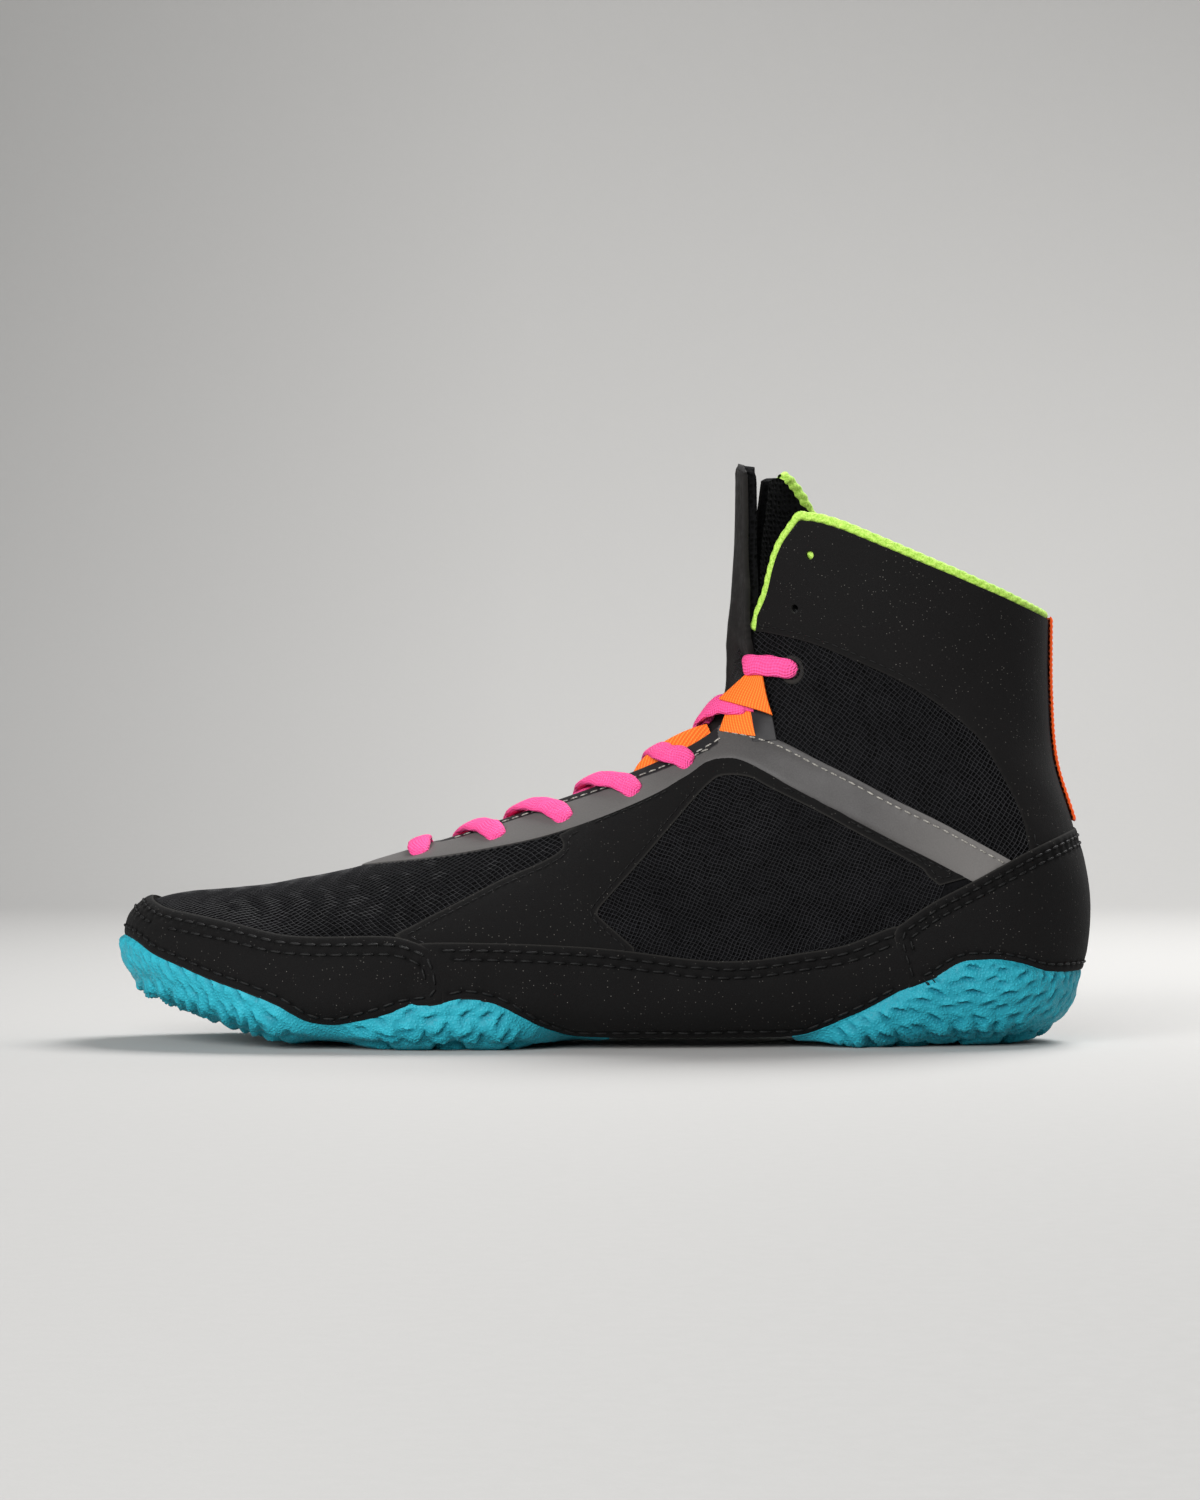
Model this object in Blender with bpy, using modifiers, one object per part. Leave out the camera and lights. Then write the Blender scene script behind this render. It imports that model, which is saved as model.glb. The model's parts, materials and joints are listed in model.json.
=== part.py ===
"""High-top wrestling shoe, the left one of a pair, at real size.

The toe points along -X, the outer side of the foot is -Y and the shoe stands on z = 0.
Whatever follows the foot is taken from one last function, a tube of sections that starts at
the toe, turns up round the heel and ends at the collar. Tables are in millimetres.
"""
import math

import bmesh
import bpy
import numpy as np
from mathutils import Matrix, Vector

OBJECT_NAME = "wrestling_shoe"
MM = 0.001

# Layer sizes
UPPER_WALL = 2.0
CLEARANCE = 0.3
SUEDE = 1.4
FILM = 0.8
SADDLE = 0.6
CUFF = 0.8
TAPE = 0.6
TAPE_HALF_WIDTH = 6.0
BINDING_RADIUS = 1.4
TONGUE = 4.0
INSOLE = 3.6

# Sole sizes
SOLE_UNDER_FOOT = 3.6
GROUND_TO_BASE = 1.8
LUG_REACH = 2.6
LUG_ROOT = 1.0
LUG_PITCH_X = 21.0
LUG_PITCH_Y = 16.0
LUG_LENGTH = 14.0
LUG_WIDTH = 10.0
LUG_TAPER = 0.8
LUG_EDGE = 0.84

# Lace sizes
LACE_WIDTH = 8.0
LACE_THICKNESS = 1.5
LOOP_WIDTH = 8.5
LOOP_THICKNESS = 0.8
EYELET_RADIUS = 2.0
LACE_GAP = 0.4
OTHER_LACE_CLIMB = 0.45
CROSSING_SINK = 1.2
END_SINK = 2.2

# Half the depth of the cutters that are drawn in side view
CUTTER_REACH = 80.0

# The last, one row a section: top and bottom of the section in side view, the middle line,
# how far it reaches to the outer and inner side, how far down it is widest, and how square
# it is above and below that.
LAST_COLUMNS = ("top_x", "top_z", "bottom_x", "bottom_z", "axis", "lateral", "medial",
                "widest", "top_power", "bottom_power")
LAST = np.array([
    (-138.2, 31.0, -138.2, 31.0, 10.0, 0.0, 0.0, 0.50, 2.0, 2.0),
    (-136.8, 36.4, -137.0, 23.5, 10.0, 11.0, 11.0, 0.50, 2.0, 2.0),
    (-132.0, 40.6, -133.6, 17.8, 9.5, 22.0, 20.5, 0.52, 2.1, 2.2),
    (-122.7, 43.0, -125.0, 14.2, 8.5, 33.0, 29.5, 0.56, 2.2, 2.6),
    (-108.0, 44.3, -110.0, 9.8, 7.5, 42.5, 36.0, 0.60, 2.2, 3.2),
    (-90.0, 46.6, -92.0, 6.4, 6.5, 49.0, 39.5, 0.65, 2.1, 3.8),
    (-70.8, 51.0, -72.0, 5.5, 5.5, 52.0, 41.0, 0.70, 2.0, 4.0),
    (-50.0, 57.2, -50.0, 5.4, 5.0, 52.0, 39.5, 0.73, 1.9, 4.0),
    (-28.0, 66.0, -24.0, 5.0, 4.0, 49.5, 35.0, 0.75, 1.8, 4.0),
    (-4.0, 75.5, 6.0, 3.0, 3.0, 45.0, 30.0, 0.75, 1.8, 4.0),
    (15.0, 84.5, 36.0, 2.3, 2.0, 40.5, 28.0, 0.74, 1.8, 4.0),
    (27.5, 92.5, 64.0, 3.2, 1.5, 37.0, 28.5, 0.72, 1.8, 3.8),
    (34.0, 100.5, 92.0, 5.2, 1.0, 35.0, 30.0, 0.70, 1.8, 3.4),
    (37.0, 108.5, 120.0, 6.8, 0.5, 34.0, 31.5, 0.68, 1.8, 2.8),
    (38.2, 115.5, 133.3, 12.2, 0.0, 33.2, 32.0, 0.66, 1.9, 2.4),
    (39.0, 121.5, 138.0, 25.0, 0.0, 33.0, 32.5, 0.63, 1.9, 2.2),
    (39.8, 128.0, 139.3, 42.5, 0.0, 33.0, 33.0, 0.58, 2.0, 2.1),
    (40.5, 135.0, 135.4, 62.2, 0.0, 33.2, 33.2, 0.53, 2.0, 2.1),
    (41.3, 144.0, 129.6, 81.5, 0.0, 33.5, 33.5, 0.50, 2.1, 2.2),
    (42.0, 153.0, 128.0, 101.5, 0.0, 34.0, 34.0, 0.50, 2.1, 2.2),
    (42.6, 163.0, 127.9, 123.0, 0.0, 34.5, 34.5, 0.50, 2.1, 2.2),
    (43.2, 173.0, 127.6, 144.0, 0.0, 35.0, 35.0, 0.50, 2.1, 2.2),
])

# Half width of the throat, from the middle line to its outer and inner edge
THROAT_COLUMNS = ("station", "lateral", "medial")
THROAT = np.array([
    (7.00, 0.0, 0.0),
    (7.12, 5.0, 5.0),
    (7.40, 8.0, 8.0),
    (8.00, 9.5, 9.0),
    (10.00, 11.0, 10.0),
    (12.00, 11.0, 10.0),
    (14.00, 10.0, 10.0),
    (15.00, 10.5, 10.5),
    (16.00, 12.0, 11.5),
    (17.00, 15.0, 12.5),
    (18.00, 18.0, 13.5),
    (19.00, 22.0, 14.5),
    (20.00, 28.0, 16.0),
    (21.00, 32.0, 18.0),
])

# The collar's rim: it dips at the front of the outer flap and rises on the inner one
RIM = 20.0
RIM_BLEND = 18.0
RIM_DIP_LATERAL = 0.5
RIM_RISE_MEDIAL = 0.3
BINDING_STATIONS = (16.0, 17.0, 18.0, 19.0, 19.5)

# Grid of the upper, and where it is open underneath
SIDE_COLUMNS = 10
OPEN_COLUMN = 8
OPEN_FOREFOOT = (3.0, 9.0)
OPEN_HEEL = (11.0, 13.0)
GRID = (0.0, 0.3, 0.6, 1.0, 1.5, 2.0, 3.0, 4.0, 5.0, 6.0, 7.0, 7.12, 7.4, 8.0, 9.0, 10.0, 11.0,
        12.0, 13.0, 13.5, 14.0, 14.5, 15.0, 15.5, 16.0, 17.0, 18.0, 19.0, 19.5, 20.0)

# Rubber above the floor, seen from the side: the top edge of each unit
FOREFOOT_EDGE = [
    (-150.0, 32.6), (-136.6, 32.2), (-128.3, 27.6), (-119.0, 23.9), (-111.6, 20.7),
    (-102.3, 17.4), (-92.2, 13.5), (-85.1, 9.8), (-80.8, 8.6), (-75.7, 8.3), (-70.6, 9.2),
    (-63.4, 10.7), (-56.2, 12.6), (-46.1, 13.8), (-39.3, 15.1), (-33.3, 14.2),
    (-27.7, 12.1), (-21.9, 9.0), (-14.7, 5.9), (-7.4, 3.9), (8.0, 3.2),
]
HEEL_EDGE = [
    (48.0, 3.2), (56.1, 4.2), (62.2, 6.2), (68.4, 8.8), (74.6, 11.4), (80.8, 14.5),
    (86.9, 17.6), (93.1, 20.0), (96.8, 22.5), (101.2, 24.8), (105.4, 25.3), (111.6, 25.3),
    (117.8, 24.1), (124.0, 22.2), (130.2, 21.6), (150.0, 22.0),
]
# How far the rubber stands out of the last at its top edge, by station, and the share of the
# way from there to SOLE_UNDER_FOOT, by angle: it bulges at the corner below the side
RUBBER_EDGE = np.array([(0.0, 2.7), (2.0, 2.4), (5.0, 1.8), (9.0, 1.4), (12.0, 1.2),
                        (14.0, 1.0), (16.0, 0.9)])
RUBBER_UNDER = np.array([(0.5, 0.0), (0.6, 0.55), (0.7, 1.5), (0.8, 1.45), (0.9, 1.15),
                         (1.0, 1.0)])
# The gap under the arch between the two units, an ellipse seen from below
ARCH_MIDDLE = 27.0
ARCH_HALF_LENGTH = 29.0
ARCH_HALF_WIDTH = 62.0

# Panels seen from the side
TOE_WRAP_TOP = [
    (-133.2, 48.0), (-132.7, 42.1), (-127.4, 38.8), (-115.0, 36.5), (-103.6, 34.5),
    (-92.3, 32.2), (-81.4, 31.5), (-59.7, 31.7), (-52.4, 29.9), (-48.8, 28.1),
    (-46.6, 24.6), (-45.4, 19.5),
]
SIDE_WRAP_TOP = [
    (-44.9, 19.5), (-45.9, 24.6), (-48.0, 28.2), (-50.4, 30.2), (-29.6, 30.2),
    (-7.4, 29.3), (7.0, 28.0), (21.4, 26.1), (32.2, 25.2), (43.0, 25.6), (55.3, 27.4),
    (68.1, 29.6), (82.0, 34.8), (81.5, 32.0), (82.4, 27.1), (84.6, 20.2),
]
COUNTER_TOP = [
    (85.1, 20.2), (82.9, 27.1), (82.0, 32.0), (82.9, 34.6), (84.2, 35.7), (92.8, 41.5),
    (104.5, 47.7), (112.3, 52.0), (122.7, 57.3), (137.7, 62.8), (150.0, 63.0),
]
STAY_LOWER = [
    (-71.5, 56.0), (-70.8, 51.0), (-65.2, 51.7), (-49.3, 53.6), (-33.8, 56.2),
    (-18.4, 59.5), (-3.1, 64.4), (12.3, 70.8), (23.7, 77.0), (29.2, 80.8), (34.4, 82.1),
    (40.5, 81.2), (53.5, 74.2), (67.9, 66.6), (82.4, 59.0), (93.2, 53.6), (103.9, 48.0),
]
STAY_UPPER = [
    (114.6, 53.7), (96.9, 63.7), (82.4, 70.9), (71.6, 76.8), (60.8, 82.2), (50.8, 87.3),
    (43.0, 89.9), (34.4, 91.7), (28.0, 100.0), (-40.0, 100.0),
]
SADDLE_FRONT = [
    (-50.0, 30.8), (-57.5, 32.4), (-43.5, 40.6), (-29.2, 47.9), (-17.6, 52.9),
    (-12.0, 56.7), (-13.0, 60.2),
]
QUARTER_MESH = [
    (95.0, 46.5), (91.7, 49.2), (88.8, 52.1), (71.5, 61.5), (60.7, 67.4), (47.7, 73.8),
    (41.2, 77.1), (34.0, 77.4), (30.2, 75.3), (24.5, 69.5), (11.4, 54.5), (-1.0, 40.9),
    (-2.0, 39.2), (-1.7, 37.6), (8.2, 29.0),
]
CUFF_LOWER = [
    (30.0, 119.6), (43.8, 119.3), (49.9, 118.2), (60.5, 115.2), (71.2, 110.6),
    (80.2, 106.5), (89.3, 101.5), (98.3, 95.2), (105.6, 88.8), (110.2, 82.4),
    (116.2, 71.6), (119.2, 64.3), (121.2, 57.2), (137.5, 63.3), (150.0, 63.5),
]
WRAP_AT_ARCH = 4.5

# The tongue: how far it reaches to each side, and how far its middle stands out of the last
TONGUE_COLUMNS = ("station", "half_width", "stand_out")
TONGUE_TABLE = np.array([
    (6.0, 20.0, -3.7),
    (8.0, 24.0, -3.0),
    (10.0, 26.0, -2.4),
    (11.0, 26.0, -2.0),
    (12.0, 26.0, -0.8),
    (13.0, 26.0, 1.2),
    (14.0, 26.0, 2.6),
    (15.0, 25.0, 3.0),
    (16.0, 22.0, 3.0),
    (18.0, 19.0, 3.4),
    (20.0, 17.0, 4.4),
    (20.5, 14.0, 4.8),
])
TONGUE_UNDER_EDGE = -3.7
TONGUE_COLUMN_SHARES = (-1.0, -0.78, -0.56, -0.38, -0.2, 0.0, 0.2, 0.38, 0.56, 0.78, 1.0)

# Punched eyelets, as a station and a share of the section's reach to that side
LACED_EYELETS = [(6.85, 0.28), (7.87, 0.41), (8.65, 0.46), (9.55, 0.50), (10.52, 0.52)]
TOP_EYELET = (15.1, 0.62)
SPARE_EYELETS = [(17.1, 0.70), (18.55, 0.77)]
# How far towards the toe a lace has come where it crosses the middle line, in stations
CROSSING_DROP = [0.30, 0.42, 0.45, 0.60]

# The webbing loop that the highest crossing runs through, as distance across and lift: its
# inner leg, its fold and its outer leg
LOOP_STATION = 13.05
LOOP_ROUTE = [(18.5, 1.3), (15.5, 1.3), (12.0, 1.3), (8.5, 1.3), (7.2, 2.2), (7.0, 3.6),
              (8.2, 5.0), (12.0, 5.2), (15.5, 5.0), (18.0, 3.6)]
LOOP_LACE_STATION = 12.5
LOOP_LACE_SHARE = 0.34
LOOP_LACE_DROP = 0.85


def rounded(value, low, high):
    """Smooth step from 0 at low to 1 at high."""
    share = np.clip((value - low) / (high - low), 0.0, 1.0)
    return share * share * (3.0 - 2.0 * share)


def section(station):
    """Columns of the last at a station, on a smooth curve through its rows."""
    before = LAST[1] * (1, 1, 1, 1, 1, -1, -1, 1, 1, 1)
    before[1] = 2.0 * LAST[0, 1] - LAST[1, 1]
    before[3] = 2.0 * LAST[0, 3] - LAST[1, 3]
    rows = np.vstack([before, LAST, 2.0 * LAST[-1] - LAST[-2]])
    index = np.clip(np.floor(station).astype(int), 0, len(LAST) - 2)
    part = (station - index)[..., None]
    a, b, c, d = (rows[index + step] for step in range(4))
    curve = b + 0.5 * part * (c - a + part * (2 * a - 5 * b + 4 * c - d
                                              + part * (3 * (b - c) + d - a)))
    return {name: curve[..., column] for column, name in enumerate(LAST_COLUMNS)}


def last_point(station, angle):
    """Point of the last: the angle is 0 on the ridge, and below 0 on the outer side."""
    station, angle = np.broadcast_arrays(np.asarray(station, float), np.asarray(angle, float))
    row = section(station)
    turn = np.abs(angle)
    sine = np.clip(np.sin(turn), 0.0, 1.0)
    cosine = np.cos(turn)
    above = turn <= math.pi / 2
    power = np.where(above, 2.0 / row["top_power"], 2.0 / row["bottom_power"])
    swing = np.abs(cosine) ** power
    down = np.where(above, row["widest"] * (1.0 - swing),
                    row["widest"] + (1.0 - row["widest"]) * swing)
    reach = np.where(angle < 0.0, -row["lateral"], row["medial"])
    return np.stack([
        row["top_x"] + (row["bottom_x"] - row["top_x"]) * down,
        row["axis"] + reach * sine ** power,
        row["top_z"] + (row["bottom_z"] - row["top_z"]) * down,
    ], axis=-1)


def skin(station, angle, lift=0.0):
    """Point of the last, moved out along its normal by the lift."""
    station, angle = np.broadcast_arrays(np.asarray(station, float), np.asarray(angle, float))
    step = 0.01
    near = np.maximum(station, 2.0 * step)
    along = last_point(near + step, angle) - last_point(near - step, angle)
    around = last_point(near, angle + step) - last_point(near, angle - step)
    normal = np.cross(along, around)
    normal /= np.linalg.norm(normal, axis=-1, keepdims=True)
    normal = np.where(station[..., None] > 0.0, normal, (-1.0, 0.0, 0.0))
    return last_point(station, angle) + normal * np.asarray(lift, float)[..., None]


def angle_at(station, across):
    """Angle of the point at a distance across from the middle line, on the top half."""
    row = section(np.asarray(station, float))
    reach = np.where(np.asarray(across) < 0.0, row["lateral"], row["medial"])
    share = np.clip(np.abs(across) / reach, 0.0, 1.0)
    return np.sign(across) * np.arcsin(share ** (row["top_power"] / 2.0))


def side_reach(station, side):
    """How far the section reaches to one side."""
    return float(section(np.asarray(station, float))["lateral" if side < 0 else "medial"])


def table_at(table, columns, name, station):
    """One column of a table whose first column is the station."""
    return np.interp(station, table[:, 0], table[:, columns.index(name)])


def throat_angle(station, side):
    """Angle of the throat's edge, 0 where the upper is closed."""
    name = "lateral" if side < 0 else "medial"
    gap = float(table_at(THROAT, THROAT_COLUMNS, name, station))
    return abs(float(angle_at(station, side * gap))) if gap > 0.0 else 0.0


def rim_station(station, angle):
    """Station moved so that the last row lies on the collar's rim."""
    if station <= RIM_BLEND:
        return station
    if angle < 0.0:
        rim = RIM - RIM_DIP_LATERAL * (1.0 - abs(angle) / math.pi)
    else:
        rim = RIM + RIM_RISE_MEDIAL * max(0.0, math.cos(angle))
    return RIM_BLEND + (station - RIM_BLEND) * (rim - RIM_BLEND) / (RIM - RIM_BLEND)


def grid_stations(first, last):
    """Stations of the shared grid between two of its rows."""
    return [station for station in GRID if first <= station <= last]


def new_object(name, mesh, group, material=None):
    """Object with a mesh, in a collection."""
    made = bpy.data.objects.new(name, mesh)
    group.objects.link(made)
    if material:
        mesh.materials.append(material)
    return made


def mesh_from(name, build):
    """Mesh made by a function that fills a bmesh in millimetres."""
    work = bmesh.new()
    build(work)
    bmesh.ops.remove_doubles(work, verts=work.verts, dist=0.001)
    bmesh.ops.scale(work, verts=work.verts, vec=(MM, MM, MM))
    mesh = bpy.data.meshes.new(name)
    work.to_mesh(mesh)
    work.free()
    return mesh


def fill_quads(work, rows):
    """Faces between rows of vertices."""
    for lower, upper in zip(rows, rows[1:]):
        for column in range(len(lower) - 1):
            work.faces.new((lower[column], upper[column], upper[column + 1],
                            lower[column + 1]))


def is_open_below(station, column):
    """Whether the grid's face from this station and column is left out of the bottom."""
    if column < OPEN_COLUMN:
        return False
    return any(first <= station < last for first, last in (OPEN_FOREFOOT, OPEN_HEEL))


def add_half(work, stations, side, lift, slit, open_below):
    """One side of a sheet over the last, in triangles whose diagonals all run one way.

    Sheets of different lifts then keep their distance all over.
    """
    step = math.pi / SIDE_COLUMNS
    rows = []
    for station in stations:
        edge = throat_angle(station, side) if slit else 0.0
        start = round(edge / step)
        row = [None] * start
        for column in range(start, SIDE_COLUMNS + 1):
            angle = side * (edge if column == start else column * step)
            at = rim_station(station, angle) if slit else station
            height = lift(at, angle) if callable(lift) else lift
            row.append(work.verts.new(skin(at, angle, height)))
        rows.append(row)
    for station, lower, upper in zip(stations, rows, rows[1:]):
        for column in range(SIDE_COLUMNS):
            if open_below and is_open_below(station, column):
                continue
            for ring in ((lower[column], lower[column + 1], upper[column + 1]),
                         (lower[column], upper[column + 1], upper[column])):
                if all(ring):
                    work.faces.new(ring if side < 0 else ring[::-1])
            if not lower[column] and upper[column] and lower[column + 1]:
                ring = (lower[column + 1], upper[column + 1], upper[column])
                work.faces.new(ring if side < 0 else ring[::-1])


def skin_mesh(name, first, last, lift, open_below=False):
    """Open sheet over the last between two stations, slit at the throat."""
    def build(work):
        for side in (-1, 1):
            add_half(work, grid_stations(first, last), side, lift, True, open_below)

    return mesh_from(name, build)


def form_mesh(name, first, last, lift):
    """Closed solid of full rings, from the toe or from a flat end to another flat end."""
    def build(work):
        for side in (-1, 1):
            add_half(work, grid_stations(first, last), side, lift, False, False)
        bmesh.ops.remove_doubles(work, verts=work.verts, dist=0.001)
        bmesh.ops.holes_fill(work, edges=[edge for edge in work.edges if edge.is_boundary])
        bmesh.ops.recalc_face_normals(work, faces=work.faces)

    return mesh_from(name, build)


def prism_mesh(name, outline, low=-CUTTER_REACH, high=CUTTER_REACH):
    """Closed solid of a side-view outline, between two distances across."""
    def build(work):
        face = work.faces.new([work.verts.new((x, low, z)) for x, z in outline])
        grown = bmesh.ops.extrude_face_region(work, geom=[face])
        moved = [item for item in grown["geom"] if isinstance(item, bmesh.types.BMVert)]
        bmesh.ops.translate(work, verts=moved, vec=(0.0, high - low, 0.0))
        bmesh.ops.recalc_face_normals(work, faces=work.faces)

    return mesh_from(name, build)


def thicken(made, thickness, offset):
    """Solidify: an offset of -1 grows inwards and of 1 outwards."""
    solid = made.modifiers.new("wall", "SOLIDIFY")
    solid.thickness = thickness * MM
    solid.offset = offset
    solid.use_even_offset = True
    return made


def cut(made, tool, operation):
    """Boolean of an object with a cutter."""
    change = made.modifiers.new(tool.name, "BOOLEAN")
    change.operation = operation
    change.object = tool
    change.solver = "EXACT"


def cutter(mesh):
    """Cutter object, left out of renders."""
    tool = new_object(mesh.name, mesh, cutters)
    tool.hide_render = True
    tool.display_type = "WIRE"
    return tool


def finish(name, colour, roughness):
    """Principled material of one sub-part."""
    made = bpy.data.materials.new(name)
    made.use_nodes = True
    shader = made.node_tree.nodes["Principled BSDF"]
    shader.inputs["Base Color"].default_value = (*colour, 1.0)
    shader.inputs["Roughness"].default_value = roughness
    return made


def add_upper():
    """Textile body: one wall, open at the collar, along the throat and under the foot."""
    mesh = skin_mesh("upper", 0.0, RIM, 0.0, open_below=True)
    made = new_object("upper", mesh, parts, finish("upper_mesh", (0.012, 0.012, 0.013), 0.85))
    thicken(made, UPPER_WALL, -1.0)
    cut(made, eyelets, "DIFFERENCE")


def rubber_lift(station, angle):
    """How far the rubber stands out of the last, growing from its edge to the bottom."""
    edge = np.interp(station, RUBBER_EDGE[:, 0], RUBBER_EDGE[:, 1])
    under = np.interp(abs(angle) / math.pi, RUBBER_UNDER[:, 0], RUBBER_UNDER[:, 1])
    return edge + (SOLE_UNDER_FOOT - edge) * under * rounded(station, 0.0, 2.0)


def base_height(x, y):
    """Height of the rubber's underside, or None where the point is too near its rim."""
    stations = np.arange(0.5, 14.0, 0.02)
    station = float(np.interp(x, section(stations)["bottom_x"], stations))
    row = section(np.asarray(station))
    offset = y - row["axis"]
    reach = row["lateral"] if offset < 0.0 else row["medial"]
    share = abs(offset) / float(reach)
    if share > LUG_EDGE:
        return None
    turn = math.pi - math.asin(share ** (float(row["bottom_power"]) / 2.0))
    angle = -turn if offset < 0.0 else turn
    return max(GROUND_TO_BASE, float(skin(station, angle, rubber_lift(station, angle))[2]))


def lug_mesh(name, first_x, last_x):
    """Staggered six-sided lugs under one unit, with their soles on the floor."""
    shape = [(-0.5, 0.0), (-0.2, -0.5), (0.3, -0.5), (0.5, 0.0), (0.3, 0.5), (-0.2, 0.5)]

    def add_lug(work, x, y):
        corners = [(x + a * LUG_LENGTH, y + b * LUG_WIDTH) for a, b in shape]
        heights = [base_height(*corner) for corner in corners]
        if None in heights:
            return
        roots = []
        feet = []
        for (corner_x, corner_y), height in zip(corners, heights):
            ground = max(0.0, height - LUG_REACH)
            foot_x = x + (corner_x - x) * LUG_TAPER
            foot_y = y + (corner_y - y) * LUG_TAPER
            roots.append(work.verts.new((corner_x, corner_y, height + LUG_ROOT)))
            feet.append(work.verts.new((foot_x, foot_y, ground)))
        work.faces.new(roots)
        work.faces.new(feet)
        for index, root in enumerate(roots):
            work.faces.new((roots[index - 1], root, feet[index], feet[index - 1]))

    def build(work):
        for column, x in enumerate(np.arange(first_x, last_x, LUG_PITCH_X / 2.0)):
            shift = 0.5 * (column % 2)
            for row in range(-4, 5):
                add_lug(work, x, (row + shift) * LUG_PITCH_Y)
        bmesh.ops.recalc_face_normals(work, faces=work.faces)

    return mesh_from(name, build)


def add_outsole(name, first, last, edge, lug_span):
    """Moulded rubber unit: a cup that climbs the side, cut between two forms of the last."""
    mesh = form_mesh(name, first, last, rubber_lift)
    made = new_object(name, mesh, parts, rubber)
    below = [(edge[-1][0], GROUND_TO_BASE), (edge[0][0], GROUND_TO_BASE)]
    cut(made, cutter(prism_mesh(name + "_edge", edge + below)), "INTERSECT")
    cut(made, body_form, "DIFFERENCE")
    cut(made, arch_gap, "DIFFERENCE")
    cut(made, cutter(lug_mesh(name + "_lugs", *lug_span)), "UNION")


def arch_mesh():
    """Upright ellipse that parts the two rubber units under the arch."""
    def build(work):
        shape = Matrix.LocRotScale((ARCH_MIDDLE, 0.0, 0.0), None,
                                   (ARCH_HALF_LENGTH, ARCH_HALF_WIDTH, 1.0))
        bmesh.ops.create_cone(work, cap_ends=True, segments=32, radius1=1.0, radius2=1.0,
                              depth=100.0, matrix=shape)

    return mesh_from("arch_gap", build)


def add_insole():
    """Footbed on the bottom of the upper."""
    inside = -(UPPER_WALL + 0.4)
    mesh = form_mesh("insole", 0.0, 15.0, inside)
    made = new_object("insole", mesh, parts, finish("insole_foam", (0.03, 0.03, 0.035), 0.9))
    stations = np.array([1.0, 2.0, 3.0, 4.0, 5.0, 6.0, 8.0, 9.0, 10.0, 11.0, 12.0, 13.0])
    row = section(stations)
    top = [(float(x), float(z) - inside + INSOLE)
           for x, z in zip(row["bottom_x"], row["bottom_z"])]
    outline = [(-150.0, top[0][1])] + top + [(150.0, top[-1][1] + 1.0), (150.0, -10.0),
                                             (-150.0, -10.0)]
    cut(made, cutter(prism_mesh("insole_depth", outline)), "INTERSECT")


def add_tongue():
    """Padded tongue: tucked under the throat's edges, and bulging out between them."""
    def build(work):
        rows = []
        for station in (*grid_stations(6.0, RIM), 20.5):
            width = float(table_at(TONGUE_TABLE, TONGUE_COLUMNS, "half_width", station))
            stand = float(table_at(TONGUE_TABLE, TONGUE_COLUMNS, "stand_out", station))
            row = []
            for share in TONGUE_COLUMN_SHARES:
                across = share * width
                name = "lateral" if share < 0.0 else "medial"
                gap = float(table_at(THROAT, THROAT_COLUMNS, name, station))
                bulge = 1.0 - float(rounded(abs(across), 0.1 * gap, max(gap - 4.0, 1.0)))
                lift = TONGUE_UNDER_EDGE + (stand - TONGUE_UNDER_EDGE) * bulge
                row.append(work.verts.new(skin(station, angle_at(station, across), lift)))
            rows.append(row)
        fill_quads(work, rows)

    made = new_object("tongue", mesh_from("tongue", build), parts,
                      finish("tongue_face", (0.014, 0.014, 0.016), 0.6))
    thicken(made, TONGUE, -1.0)


def add_panel(name, outline, thickness, material, span, side=0, punched=False):
    """Overlay: a sheet of the upper's own skin, cut to its outline seen from the side."""
    mesh = skin_mesh(name, *span, CLEARANCE)
    made = new_object(name, mesh, parts, material)
    thicken(made, thickness, 1.0)
    if punched:
        cut(made, eyelets, "DIFFERENCE")
    low = -CUTTER_REACH if side <= 0 else 0.0
    high = CUTTER_REACH if side >= 0 else 0.0
    cut(made, cutter(prism_mesh(name + "_outline", outline, low, high)), "INTERSECT")


def between(edge, low, high):
    """Points of an edge between two x values, raised by the clearance."""
    return [(x, z + CLEARANCE) for x, z in edge if low <= x <= high]


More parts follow.
